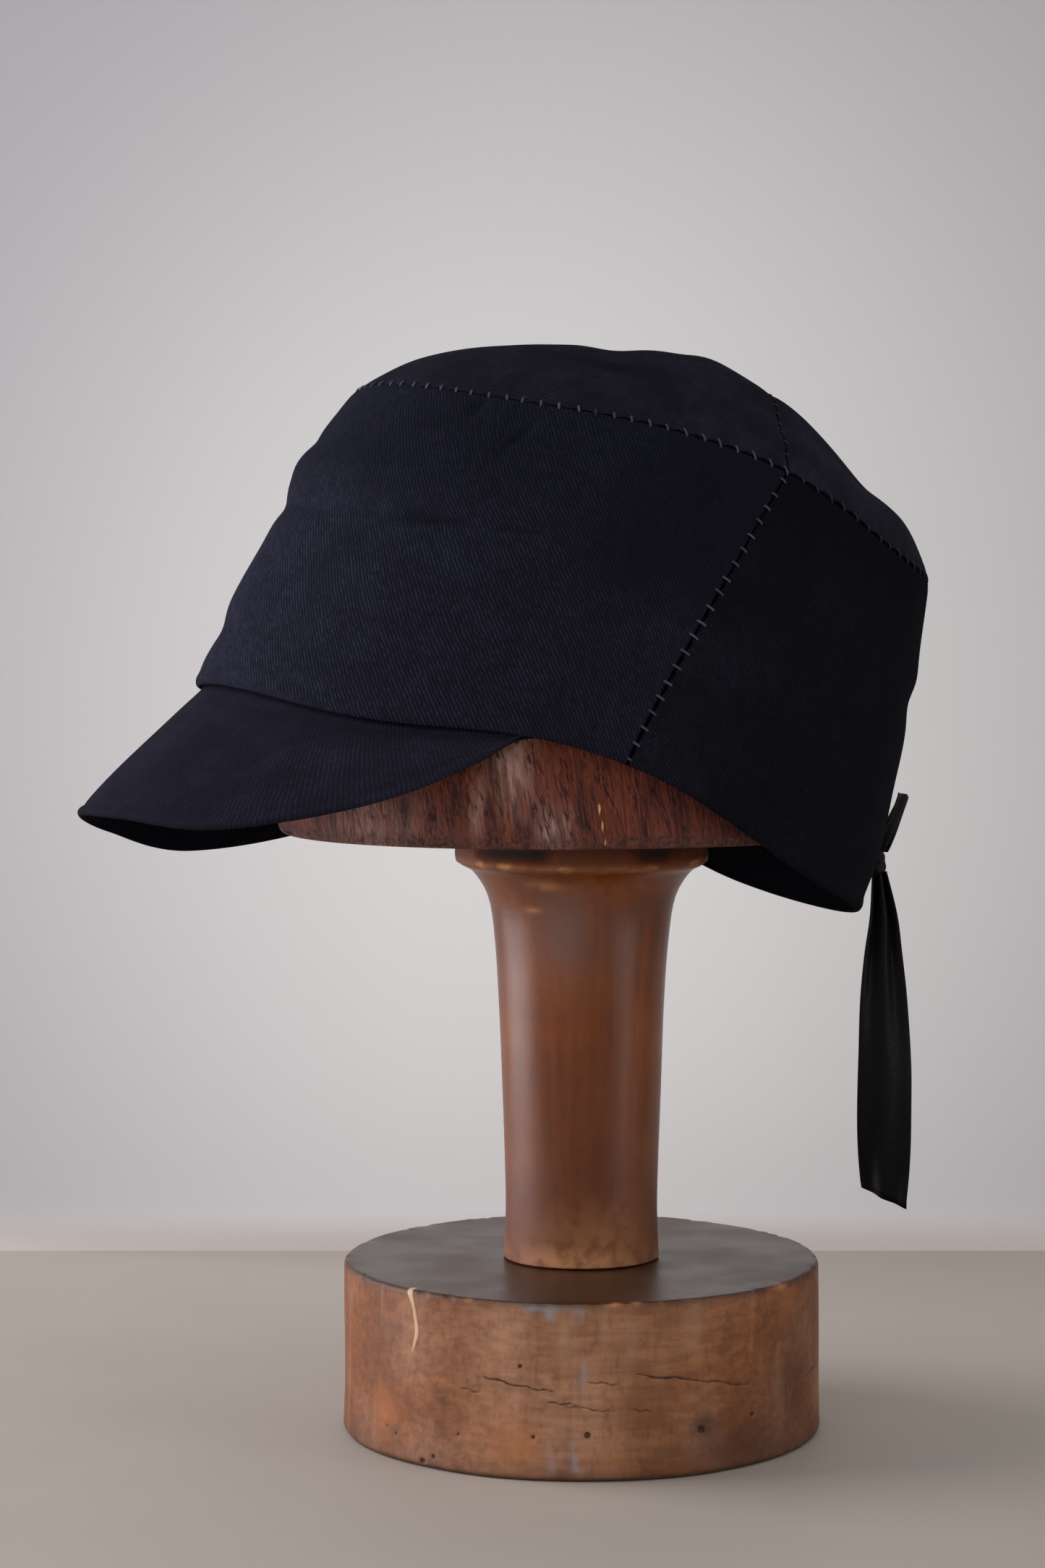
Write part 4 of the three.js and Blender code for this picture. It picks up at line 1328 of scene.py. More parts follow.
def base_piece(material):
    """Base: a round slab with rounded rims. Cracks and holes are narrow wells in its side, chips bite into
    the top rim, a pale run stands out, and broad ripples leave the turned faces a little uneven. Its marks
    are sums of bells round its side, the nearness of its rims and the distances from cracks and run."""
    foot, top = BASE_RADIUS + BASE_FLARE, BASE_HEIGHT
    profile = np.vstack([
        line((0, 0), (foot - EDGE_ROUND, 0), 8),
        corner((foot - EDGE_ROUND, EDGE_ROUND), EDGE_ROUND, -90, 0),
        line((foot - 0.02, EDGE_ROUND + 0.5), BASE_FINE_LOW, 12),
        line(BASE_FINE_LOW, BASE_FINE_HIGH, 68),
        line(BASE_FINE_HIGH, (BASE_RADIUS, top - EDGE_ROUND), 14),
        corner((BASE_RADIUS - EDGE_ROUND, top - EDGE_ROUND), EDGE_ROUND, 0, 90),
        line((BASE_RADIUS - EDGE_ROUND - 0.6, top), (0, top), 26),
        [(0, top)],
    ])
    points, outward, degrees = turned_points(profile, BASE_COLUMNS)
    z = points[..., 2]
    radius = np.hypot(points[..., 0], points[..., 1])
    on_side = ramp(radius, BASE_RADIUS - 3, BASE_RADIUS - 1)
    crack = np.where(on_side > 0.5, crack_gap(degrees, z), MARK_LIMIT)
    pale = np.where(on_side > 0.2, run_gap(degrees, z, BASE_RADIUS, BASE_RUN), MARK_LIMIT)
    rough = 0.5 + uneven(points, BASE_SMUDGES)
    tables = {"warm": BASE_WARM_SPOTS, "dark": BASE_DARK_SPOTS, "band": BASE_BANDS, "smear": BASE_SMEARS}
    marks = {name: soft_spots(degrees, z, table, BASE_RADIUS) * on_side for name, table in tables.items()}
    marks["smear"] *= rough
    top_rim = bell(np.hypot(BASE_RADIUS - radius, z - top), 1.6)
    foot_rim = bell(z, 1.1) * on_side
    chips = top_rim * ramp(uneven(points, BASE_CHIPS), 0.7, 1.8)
    push = uneven(points, BASE_UNEVEN) + uneven(points * BASE_STREAK_DRAW, BASE_STREAKS)
    push *= 0.12 + 0.88 * on_side
    push += run_rise(pale) - CRACK_DEPTH * (1 - ramp(crack, -0.1, 0.25))
    push -= BASE_CHIP_DEPTH * chips
    place = points + outward * (push * ramp(radius, *AXIS_FADE))[..., None]
    place[..., 2] = place[..., 2].clip(0)
    tan = sum(strength * bell(turn_from(degrees, middle), spread) for middle, spread, strength in BASE_TAN_AND_LIGHT)
    marks["tan"] = tan + uneven(points, BASE_CLOUDS)
    marks["dark"] += FOOT_SHADE * bell(z, FOOT_SHADE_RISE) * on_side
    near_rim = ramp(radius, BASE_RADIUS - 2.2, BASE_RADIUS - 1)
    marks["wear"] = soft_spots(degrees, z, BASE_RIM_SPOTS, BASE_RADIUS) * ramp(rough, 0, 0.7) * near_rim
    marks["rim"] = np.maximum(top_rim, foot_rim)
    marks = {name: mask.clip(0, 1) for name, mask in marks.items()} | {"crack": crack, "pale": pale}
    return write_piece("base", [patch(place, **marks)], material)


def column_piece(material):
    """Column: the table's profile as one smooth curve, closed by flat ends, with faint turning rings. Chips
    and ragged slots bite into its collar. Its marks are bells and smooth steps of angle and height."""
    rows = np.array(COLUMN_ROWS, float)
    share = np.concatenate([np.linspace(0, 0.78, 110), np.linspace(0.785, 1, 46)])
    side = spline(rows, share)
    bottom, top = rows[0], rows[-1]
    profile = np.vstack([
        line((0, bottom[1]), (bottom[0] - 0.8, bottom[1]), 5),
        corner((bottom[0] - 0.6, bottom[1] + 0.6), 0.6, -90, -10, 5),
        side[4:-6],
        corner((top[0] - 1.2, top[1] - 1.2), 1.2, 10, 90, 6),
        line((top[0] - 2, top[1]), (0, top[1]), 5),
        [(0, top[1])],
    ])
    points, outward, degrees = turned_points(profile, COLUMN_COLUMNS)
    z = points[..., 2]
    radius = np.hypot(points[..., 0], points[..., 1])
    collar_foot = rows[-2][1] - 0.8
    collar = ramp(z, collar_foot - 1.2, collar_foot) * ramp(radius, *COLLAR_RADII)
    rings = np.sin(z * 5.1) * 0.4 + np.sin(z * 2.3 + 1)
    push = RING_DEPTH * rings + uneven(points, COLUMN_UNEVEN) + uneven(points, COLLAR_UNEVEN) * collar
    edge = bell(z - collar_foot, 1.0) * ramp(radius, *COLLAR_RADII)
    chips = edge * ramp(uneven(points, COLLAR_CHIPS), 0.3, 1.5)
    foot = z - bottom[1]
    # The pale line along the collar's lower lip is partly wear and partly a painted highlight; the chips and
    # listed spots are wear.
    wear = (chips + 0.3 * edge + soft_spots(degrees, z, COLUMN_WORN, bottom[0])).clip(0, 1)
    past_slot = np.abs(turn_from(degrees[..., None], COLLAR_SLOTS[:, 0])) - COLLAR_SLOTS[:, 1]
    ragged = past_slot.min(-1) + uneven(points, SLOT_RAGS)
    slots = collar * bell(z - collar_foot - 3.6, 1.5) * (1 - ramp(ragged, -3, 2))
    dull = ramp(z, collar_foot - 2, collar_foot) + 0.9 * bell(foot, 18)
    push -= COLLAR_CHIP_DEPTH * chips + SLOT_DEPTH * slots
    place = points + outward * (push * ramp(radius, *AXIS_FADE))[..., None]
    # The collar is darkened almost to black in its slots.
    dark_slots = collar * bell(z - collar_foot - 4.2, 2.4) * (1 - ramp(ragged, -5, 6))
    # Painted shade: darker towards the foot, and on the collar, most under the block.
    low = 1 - ramp(z, *COLUMN_SHADED_FOOT) + collar * (0.6 + 1.2 * ramp(z, collar_foot + 1, collar_foot + 6))
    # Painted grey reflections high on the column.
    painted_reflection = soft_spots(degrees, z, COLUMN_PAINTED_REFLECTIONS, rows[6][0]).clip(0, 1)
    marks = {"wear": wear, "dark_slots": dark_slots, "dull": dull, "low": low, "painted_reflection": painted_reflection}
    return write_piece("column", [patch(place, **marks)], material)


def block_piece(material):
    """Block: ovals of the table from the flat underside to the crest, closed in the middle of both ends.
    Upright gouges and one pale run go down its side, and its bottom edge is bruised. Its marks are sums of
    bells round its side, the nearness of its bottom edge and the distance from the run."""
    rows = np.array(BLOCK_ROWS, float)
    under = np.linspace(0, 1, 12, endpoint=False)
    spans = len(rows) - 1
    fine, coarse = np.linspace(0, BLOCK_FINE_END / spans, 58), np.linspace(BLOCK_COARSE_START / spans, 1, 18)
    level = np.concatenate([fine, coarse])
    table = spline(rows, level)
    angle = closed_turn(BLOCK_COLUMNS)
    grid = np.stack([*oval(*(table[:, k, None] for k in (1, 2, 3)), angle[None]),
                     np.broadcast_to(table[:, 0, None], (len(table), len(angle)))], -1)
    floor = grid[:1] * (0, 0, 1) + (grid[:1] * (1, 1, 0)) * under[:, None, None]
    crest = np.broadcast_to((0, 0, BLOCK_CREST), grid[:1].shape)
    points = np.concatenate([floor, grid, crest])
    z = points[..., 2]
    plan = points * (1, 1, 0)
    outward = unit(plan)
    fade = ramp(np.linalg.norm(plan, axis=-1), 0, 20) * ramp(z, rows[0][0], rows[0][0] + 0.9)
    gouge = uneven(points * GOUGE_DRAW, BLOCK_GOUGES) + uneven(points * SCRATCH_DRAW, BLOCK_SCRATCHES)
    edge = bell(z - rows[0][0] - 1.3, 2.0)
    chips = edge * ramp(uneven(points, BLOCK_CHIPS), 0.4, 1.8)
    push = 0.05 * gouge - 0.12 * ramp(gouge, 0.8, 2) + uneven(points, BLOCK_UNEVEN) - BLOCK_CHIP_DEPTH * chips
    wear = np.clip(edge * 0.75 + chips, 0, 1)
    degrees = np.degrees(np.arctan2(points[..., 0], -points[..., 1]))
    girth = BLOCK_ROWS[1][3]
    pale = run_gap(degrees, z, girth, BLOCK_RUN)
    bleached = soft_spots(degrees, z, BLOCK_PALE, girth).clip(0, 1)
    dark = soft_spots(degrees, z, BLOCK_DARK, girth).clip(0, 1)
    place = points + outward * (push * fade + run_rise(pale))[..., None]
    return write_piece("block", [patch(place, wear=wear, pale=pale, bleached=bleached, dark=dark)], material)


# Finishes
def node(tree, kind, inputs=None, **settings):
    """One node with its settings. An input takes a plain value or another node's output."""
    made = tree.nodes.new(kind)
    for key, value in settings.items():
        setattr(made, key, value)
    for key, value in (inputs or {}).items():
        if isinstance(value, bpy.types.NodeSocket):
            tree.links.new(value, made.inputs[key])
        else:
            made.inputs[key].default_value = value
    return made


def number(tree, operation, first, second=0.0):
    return node(tree, "ShaderNodeMath", {0: first, 1: second}, operation=operation).outputs[0]


def product(tree, first, *others):
    """Values multiplied one after another."""
    for other in others:
        first = number(tree, "MULTIPLY", first, other)
    return first


def total(tree, first, *others):
    """Values added one after another."""
    for other in others:
        first = number(tree, "ADD", first, other)
    return first


def opaque(colour):
    """A plain colour with its alpha, or another node's output as it is."""
    return colour if isinstance(colour, bpy.types.NodeSocket) else (*colour, 1)


def blend(tree, share, first, second, most=1.0):
    """Mix of two colours by a share that varies over the surface, up to the most given."""
    if most < 1:
        share = product(tree, share, most)
    inputs = {0: share, 6: opaque(first), 7: opaque(second)}
    return node(tree, "ShaderNodeMix", inputs, data_type="RGBA").outputs[2]


def coated(tree, base, *coats):
    """Coats laid over a base colour one after another. Each has a mask, a colour and its most cover."""
    for mask, colour, most in coats:
        base = blend(tree, mask, base, colour, most)
    return base


def between(tree, value, low, high, to_low=0.0, to_high=1.0):
    """Smooth step of a value between two ends, from one result to another."""
    inputs = {"Value": value, "From Min": low, "From Max": high, "To Min": to_low, "To Max": to_high}
    return node(tree, "ShaderNodeMapRange", inputs, interpolation_type="SMOOTHSTEP").outputs[0]


def stretched(tree, place, scale, turn=(0, 0, 0)):
    return node(tree, "ShaderNodeMapping", {"Vector": place, "Scale": scale, "Rotation": turn}).outputs[0]


def mottle(tree, place, size, detail=2.0, roughness=0.5):
    """Soft noise with patches of about the size given."""
    inputs = {"Vector": place, "Scale": 1 / size, "Detail": detail, "Roughness": roughness}
    return node(tree, "ShaderNodeTexNoise", inputs).outputs[0]


def crest_wave(tree, place):
    """Wave with its crest at every half and its trough at every whole number."""
    cosine = number(tree, "COSINE", product(tree, place, 2 * np.pi))
    return number(tree, "SUBTRACT", 0.5, product(tree, cosine, 0.5))


def height_of(tree, vector):
    """Third component of a vector."""
    return node(tree, "ShaderNodeSeparateXYZ", {0: vector}).outputs[2]


def group(name, inputs, outputs):
    """Empty node group with its named sockets, and its two end nodes."""
    tree = bpy.data.node_groups.new(name, "ShaderNodeTree")
    for side, sockets in (("INPUT", inputs), ("OUTPUT", outputs)):
        for socket, kind in sockets.items():
            tree.interface.new_socket(socket, in_out=side, socket_type=kind)
    return tree, tree.nodes.new("NodeGroupInput").outputs, tree.nodes.new("NodeGroupOutput").inputs


def weave_group():
    """Twill: ribs are a wave across a turned cloth chart. Each rib is cut into floats that step along from
    rib to rib, and every float has a tone of its own. Puts out the rib, the tone of the float, a fine nap, a
    broad mottle, smaller rubbed patches and the relief."""
    inputs = {"Cloth": VECTOR, "Lean": VALUE, "Pitch": VALUE, "Float": VALUE}
    outputs = dict.fromkeys(("Rib", "Yarn", "Nap", "Mottle", "Patch", "Relief"), VALUE)
    tree, given, out = group("weave", inputs, outputs)
    chart = given["Cloth"]
    turn = {"Vector": chart, "Angle": given["Lean"]}
    turned = node(tree, "ShaderNodeVectorRotate", turn, rotation_type="Z_AXIS").outputs[0]
    across, along, _ = node(tree, "ShaderNodeSeparateXYZ", {0: turned}).outputs
    wobble = product(tree, mottle(tree, chart, WOBBLE_SIZE), WOBBLE)
    place = total(tree, number(tree, "DIVIDE", across, given["Pitch"]), wobble)
    rib = crest_wave(tree, place)
    row = number(tree, "FLOOR", place)
    step = total(tree, number(tree, "DIVIDE", along, given["Float"]), product(tree, row, FLOAT_STEP))
    cell = node(tree, "ShaderNodeCombineXYZ", {0: row, 1: number(tree, "FLOOR", step)}).outputs[0]
    yarn = node(tree, "ShaderNodeTexWhiteNoise", {"Vector": cell}, noise_dimensions="2D").outputs["Value"]
    bead = product(tree, rib, crest_wave(tree, step))
    made = {
        "Rib": rib,
        "Yarn": yarn,
        "Nap": mottle(tree, stretched(tree, turned, NAP_STRETCH), NAP_SIZE, 1.0),
        "Mottle": mottle(tree, chart, MOTTLE_SIZE, 3.0),
        "Patch": mottle(tree, stretched(tree, chart, PATCH_STRETCH), PATCH_SIZE, 5.0, 0.6),
        "Relief": total(tree, rib, product(tree, bead, BEAD_RELIEF), product(tree, yarn, YARN_RELIEF)),
    }
    for name, socket in made.items():
        tree.links.new(socket, out[name])
    return tree


def grain_group():
    """Wood: noise drawn out along the third axis at three sizes, for the broad figure, the fibres and the
    short dark pores, and one plain noise for blotches."""
    inputs = {"Place": VECTOR} | {f"{name} Size": VALUE for name in GRAIN_STREAKS}
    outputs = dict.fromkeys((*GRAIN_STREAKS, "Blotch"), VALUE)
    tree, given, out = group("grain", inputs, outputs)
    for name, (draw_out, detail) in GRAIN_STREAKS.items():
        noise = {
            "Vector": stretched(tree, given["Place"], (1, 1, draw_out)),
            "Scale": number(tree, "DIVIDE", 1.0, given[f"{name} Size"]),
            "Detail": detail,
            "Roughness": 0.6,
            "Distortion": 0.3,
        }
        tree.links.new(node(tree, "ShaderNodeTexNoise", noise).outputs[0], out[name])
    tree.links.new(mottle(tree, given["Place"], BLOTCH_SIZE, 3.0), out["Blotch"])
    return tree


WEAVE = weave_group()
GRAIN = grain_group()


def woven(tree, lean, pitch, float_length):
    """The weave on a piece's own cloth chart: lean of its ribs in degrees, their pitch and their floats."""
    chart = node(tree, "ShaderNodeUVMap", uv_map="cloth").outputs[0]
    inputs = {"Cloth": chart, "Lean": np.radians(lean), "Pitch": pitch, "Float": float_length}
    return node(tree, "ShaderNodeGroup", inputs, node_tree=WEAVE).outputs


def grained(tree, place, figure, fibre, pore):
    """The grain at a place, with the sizes of its figure, fibres and pores."""
    inputs = {"Place": place, "Figure Size": figure, "Fibre Size": fibre, "Pore Size": pore}
    return node(tree, "ShaderNodeGroup", inputs, node_tree=GRAIN).outputs


def wood_place(tree, lean=0):
    """Object coordinates in millimetres, leant about X so that the grain runs along the third axis."""
    place = node(tree, "ShaderNodeTexCoord").outputs["Object"]
    return stretched(tree, place, (1 / MM,) * 3, (np.radians(lean), 0, 0))


def mark(tree, name):
    """A mask of the piece's own, kept on its points."""
    return node(tree, "ShaderNodeAttribute", attribute_name=name).outputs["Fac"]


def tinted(colour, share):
    """A colour times one share, or times a share for each channel."""
    return tuple(np.multiply(colour, share))


def finish_of(name, **plain):
    """New material: its tree, and its Principled shader with the plain values set on its own sockets."""
    material = bpy.data.materials.new(name)
    material.use_nodes = True
    tree = material.node_tree
    shader = tree.nodes["Principled BSDF"]
    for socket, value in plain.items():
        shader.inputs[socket.replace("_", " ")].default_value = value
    return material, tree, shader


def wire(tree, shader, colour, roughness=None, height=None, distance=0.1, strength=0.6):
    """Joins a colour, a roughness and a relief, with its depth in millimetres, to the shader."""
    tree.links.new(colour, shader.inputs["Base Color"])
    if roughness is not None:
        tree.links.new(roughness, shader.inputs["Roughness"])
    if height is not None:
        inputs = {"Height": height, "Distance": distance * MM, "Strength": strength}
        tree.links.new(node(tree, "ShaderNodeBump", inputs).outputs[0], shader.inputs["Normal"])


def twill(name, colour, lean, ribbed, mottled):
    """Matt cotton twill: darker between the ribs, each float a little paler or darker than the next, rubbed
    paler and bluer in patches, duller in broad ones, darkened by painted shade where the mark gives it, and
    darkest, as deeper painted shade, in the seams' grooves and inside."""
    material, tree, shader = finish_of(name, Roughness=1.0, Specular_IOR_Level=0.02)
    cloth = woven(tree, lean, TWILL_PITCH, TWILL_FLOAT)
    shine = product(
        tree,
        cloth["Rib"],
        between(tree, cloth["Yarn"], 0.1, 1, 0.5, 1.0),
        between(tree, cloth["Nap"], 0.3, 0.7, 0.55, 1.1),
        between(tree, cloth["Patch"], 0.35, 0.65, 0.85, 1.0),
    )
    base = blend(tree, shine, tinted(colour, 1 - 0.5 * ribbed), tinted(colour, 1 + 1.5 * ribbed))
    bead = number(tree, "COSINE", product(tree, mark(tree, "stitch"), 2 * np.pi))
    width = number(tree, "SUBTRACT", 1.0, product(tree, bead, GROOVE_BEAD))
    reach = number(tree, "DIVIDE", number(tree, "SUBTRACT", 1.0, mark(tree, "near")), width)
    base = coated(
        tree,
        base,
        (between(tree, cloth["Patch"], 0.42, 0.72), tinted(colour, RUBBED), 0.16 * mottled),
        (between(tree, cloth["Mottle"], 0.35, 0.65), tinted(colour, DULLED), 0.22 * mottled),
        # Painted shade where the mark gives it, then deeper painted shade in the seams' grooves and inside.
        (mark(tree, "fresh"), tinted(colour, PAINTED_SHADE_SHARE), 0.66),
        (between(tree, reach, 0.55, 0.1), tinted(colour, DEEP_SHADE_SHARE), 0.92),
        (mark(tree, "inside"), tinted(colour, DEEP_SHADE_SHARE), 0.92),
    )
    wire(tree, shader, base, None, cloth["Relief"], 0.1, 0.5 * ribbed)
    return material


def ribbon_finish():
    """Smooth black ribbon: fine ribs across it and a faint gloss."""
    material, tree, shader = finish_of("ribbon", Specular_IOR_Level=0.14)
    cloth = woven(tree, 90, 0.45, 0.5)
    base = blend(tree, cloth["Rib"], (0.002, 0.002, 0.0025), (0.007, 0.0062, 0.0075))
    wire(tree, shader, base, between(tree, cloth["Yarn"], 0, 1, 0.4, 0.6), cloth["Relief"], 0.06, 0.5)
    return material


def thread_finish():
    """Grey-blue sewing thread, darker by its tone mark, a random spread with painted shade on the stitches
    behind the junction: plies wind round it as slanted ribs.
    """
    material, tree, shader = finish_of("thread", Roughness=0.6, Specular_IOR_Level=0.3)
    plies = woven(tree, 58, 0.3, 0.4)
    base = blend(tree, plies["Rib"], (0.045, 0.05, 0.074), (0.125, 0.138, 0.195))
    base = blend(tree, mark(tree, "tone"), (0.005, 0.005, 0.007), base)
    wire(tree, shader, base, None, plies["Relief"], 0.05, 0.6)
    return material


def lint_finish():
    """Pale loose fibres."""
    material, tree, shader = finish_of("lint", Roughness=0.9, Specular_IOR_Level=0.1)
    tone = mottle(tree, wood_place(tree), 20.0)
    wire(tree, shader, blend(tree, tone, (0.02, 0.02, 0.028), (0.055, 0.055, 0.066)))
    return material


def block_finish():
    """Reddish bare wood: fine upright fibres, bleached and dark streaks, clusters of thin slanting dashes, a
    grey bruised bottom edge, one pale run down the side, and painted shade on the side away from the window."""
    material, tree, shader = finish_of("block_wood", Specular_IOR_Level=0.16)
    upright = wood_place(tree, BLOCK_GRAIN_LEAN)
    wood = grained(tree, upright, 5.0, 0.55, 1.5)
    cuts = grained(tree, wood_place(tree, BLOCK_CUT_LEAN), 2.2, 0.4, 0.62)
    base = blend(tree, between(tree, wood["Fibre"], 0.3, 0.7), (0.085, 0.018, 0.012), (0.215, 0.053, 0.027))
    pale = product(tree, mark(tree, "bleached"), between(tree, wood["Pore"], 0.35, 0.6, 0.35, 1.0))
    figure = between(tree, wood["Figure"], 0.46, 0.66)
    bands = product(tree, figure, between(tree, wood["Fibre"], 0.35, 0.65, 1.0, 0.45))
    shade = product(tree, mark(tree, "dark"), between(tree, wood["Fibre"], 0.35, 0.65, 1.0, 0.55))
    clusters = between(tree, cuts["Figure"], 0.42, 0.62, 0.15, 1.0)
    clusters = number(tree, "MAXIMUM", clusters, mark(tree, "dark"))
    dashes = product(tree, between(tree, cuts["Pore"], 0.5, 0.6), clusters)
    bruise = between(tree, mottle(tree, upright, 1.1, 3.0), 0.36, 0.62)
    edge = blend(tree, bruise, (0.05, 0.022, 0.02), (0.125, 0.058, 0.046))
    base = coated(
        tree,
        base,
        (between(tree, cuts["Fibre"], 0.42, 0.7), (0.29, 0.088, 0.045), 0.35),
        (pale, (0.5, 0.32, 0.27), 0.85),
        (bands, (0.045, 0.015, 0.016), 0.75),
        (shade, (0.032, 0.013, 0.016), 0.85),
        (dashes, (0.02, 0.01, 0.014), 0.85),
        (mark(tree, "wear"), edge, 0.8),
        (between(tree, mark(tree, "pale"), 0.2, -0.15), (0.68, 0.43, 0.2), 0.95),
    )
    relief = number(tree, "SUBTRACT", wood["Fibre"], total(tree, cuts["Pore"], bands))
    relief = total(tree, relief, product(tree, mark(tree, "wear"), bruise))
    wire(tree, shader, base, between(tree, wood["Fibre"], 0.3, 0.8, 0.5, 0.7), relief, 0.35, 0.7)
    return material


def column_finish():
    """Old brown varnish: softly blotched, faintly streaked along the grain, with a soft gloss, fine dark
    specks, painted grey reflections, worn orange edges, painted shade low down and on the collar, and dull
    slots darkened almost to black."""
    material, tree, shader = finish_of("column_wood", Specular_IOR_Level=0.62)
    place = wood_place(tree)
    wood = grained(tree, place, 14.0, 3.0, 1.0)
    fibre = between(tree, wood["Fibre"], 0.2, 0.8)
    specks = between(tree, mottle(tree, stretched(tree, place, (1, 1, 0.5)), 1.6, 4.0, 0.7), 0.5, 0.75)
    patchy = between(tree, mottle(tree, place, 5.0, 3.0), 0.3, 0.6, 0.35, 1.0)
    base = coated(
        tree,
        blend(tree, fibre, (0.135, 0.026, 0.0012), (0.22, 0.046, 0.0024)),
        (between(tree, wood["Figure"], 0.35, 0.75), (0.09, 0.019, 0.002), 0.6),
        (between(tree, wood["Blotch"], 0.35, 0.8), (0.29, 0.078, 0.008), 0.55),
        (specks, (0.05, 0.012, 0.002), 0.35),
        # Painted shade low on the column and on the collar.
        (mark(tree, "low"), (0.06, 0.012, 0.001), 0.45),
        # Painted grey reflections.
        (mark(tree, "painted_reflection"), (0.2, 0.115, 0.1), 0.75),
        (product(tree, mark(tree, "wear"), patchy), (0.5, 0.22, 0.09), 1.0),
        (mark(tree, "dark_slots"), (0.012, 0.007, 0.006), 1.0),
    )
    dull = product(tree, mark(tree, "dull"), 0.3)
    low = product(tree, mark(tree, "low"), 0.1)
    rough = total(tree, between(tree, wood["Fibre"], 0.2, 0.8, 0.33, 0.39), mark(tree, "dark_slots"), dull, low)
    wire(tree, shader, base, rough, wood["Fibre"], 0.03, 0.2)
    return material


def base_finish():
    """Worn brown wood: softly blotched, with faint level fibres and upright bands, thin dark cracks and
    holes, a dark line along the rims, a pale run, grey smears, and a darker, smoother top. Its side is paler
    where it faces the camera, as painted light, and darker at the foot and low on the right, as painted
    shade."""
    material, tree, shader = finish_of("base_wood", Specular_IOR_Level=0.29)
    upright = wood_place(tree)
    wood = grained(tree, wood_place(tree, 90), 14.0, 2.4, 0.9)
    brush = grained(tree, upright, 9.0, 2.0, 1.0)
    fibre = between(tree, wood["Fibre"], 0.3, 0.7)
    dark = blend(tree, fibre, (0.168, 0.051, 0.012), (0.26, 0.084, 0.021))
    tan = blend(tree, fibre, (0.5, 0.268, 0.162), (0.68, 0.38, 0.24))
    blotch = between(tree, wood["Blotch"], 0.35, 0.7)
    stain = blend(tree, blotch, (0.042, 0.0195, 0.0105), (0.068, 0.03, 0.0145))
    clouds = between(tree, mottle(tree, upright, 14.0, 6.0, 0.62), 0.38, 0.66)
    flecks = between(tree, mottle(tree, stretched(tree, upright, (1, 1, 0.55)), 3.2, 5.0, 0.65), 0.48, 0.72)
    up = height_of(tree, node(tree, "ShaderNodeNewGeometry").outputs["Normal"])
    on_top = between(tree, up, 0.75, 0.95)
    # The side is paler on the stretch facing the camera as painted light; the dark coat holds dark spots and
    # painted shade at the foot and low on the right.
    base = coated(
        tree,
        blend(tree, mark(tree, "tan"), dark, tan),
        (clouds, (0.09, 0.03, 0.013), 0.3),
        (flecks, (0.08, 0.03, 0.016), 0.4),
        (between(tree, brush["Figure"], 0.52, 0.72), (0.6, 0.36, 0.22), 0.16),
        (between(tree, brush["Fibre"], 0.5, 0.72), (0.07, 0.028, 0.014), 0.16),
        (mark(tree, "band"), (0.62, 0.4, 0.25), 0.28),
        (mark(tree, "warm"), (0.52, 0.18, 0.055), 0.5),
        (mark(tree, "dark"), (0.05, 0.02, 0.014), 0.7),
        (mark(tree, "smear"), (0.34, 0.33, 0.37), 0.75),
        (on_top, stain, 1.0),
        (mark(tree, "rim"), (0.04, 0.018, 0.011), 0.75),
        (mark(tree, "wear"), (0.5, 0.22, 0.085), 0.85),
        (between(tree, mark(tree, "pale"), 0.35, -0.3), (0.66, 0.44, 0.26), 0.9),
        (between(tree, mark(tree, "crack"), 0.28, -0.08), (0.02, 0.01, 0.007), 0.85),
    )
    rough = between(tree, wood["Blotch"], 0.3, 0.75, 0.48, 0.62)
    rough = number(tree, "SUBTRACT", rough, product(tree, on_top, 0.2))
    wire(tree, shader, base, rough, wood["Fibre"], 0.06, 0.3)
    return material


def floor_finish():
    """Pale beige table top with a faint mottle."""
    material, tree, shader = finish_of("floor", Roughness=0.6, Specular_IOR_Level=0.3)
    tone = mottle(tree, wood_place(tree), 60.0, 4.0)
    wire(tree, shader, blend(tree, tone, (0.425, 0.376, 0.328), (0.48, 0.422, 0.363)))
    return material


def backdrop_finish():
    """Pale grey wall with a painted pool of light in its middle and a faint glow of its own, which is painted
    light too. It shows only from the front, so that it never hides the object."""
    plain = {"Roughness": 0.9, "Specular_IOR_Level": 0.1, "Emission_Strength": 0.25}
    material, tree, shader = finish_of("backdrop", **plain)
    wall = blend(tree, mark(tree, "glow"), (0.37, 0.36, 0.385), (0.815, 0.81, 0.81))
    above_floor = between(tree, height_of(tree, wood_place(tree)), 0.5, BACKDROP_COVE)
    wall = blend(tree, above_floor, (0.44, 0.395, 0.365), wall)
    wire(tree, shader, wall)
    tree.links.new(wall, shader.inputs["Emission Color"])
    behind = node(tree, "ShaderNodeNewGeometry").outputs["Backfacing"]
    clear = node(tree, "ShaderNodeBsdfTransparent").outputs[0]
    shown = node(tree, "ShaderNodeMixShader", {0: behind, 1: shader.outputs[0], 2: clear}).outputs[0]
    tree.links.new(shown, tree.nodes["Material Output"].inputs["Surface"])
    return material


# Studio
def heading():
    """Level unit vectors of the camera: ahead into the picture, and to its right."""
    turn = np.radians(CAMERA_AZIMUTH + CAMERA_AIM_LEFT)
    return np.array([-np.sin(turn), np.cos(turn), 0]), np.array([np.cos(turn), np.sin(turn), 0])


def add_camera():
    """Camera on a circle round the stand, aimed a little down and a little left of the stand's axis."""
    data = bpy.data.cameras.new("camera")
    data.lens = CAMERA_LENS
    camera = bpy.data.objects.new("camera", data)
    azimuth = np.radians(CAMERA_AZIMUTH)
    camera.location = Vector((np.sin(azimuth), -np.cos(azimuth), 0)) * CAMERA_DISTANCE * MM
    camera.location.z = CAMERA_HEIGHT * MM
    camera.rotation_euler = np.radians([90 - CAMERA_DROP, 0, CAMERA_AZIMUTH + CAMERA_AIM_LEFT])
    bpy.context.scene.collection.objects.link(camera)
    bpy.context.scene.camera = camera


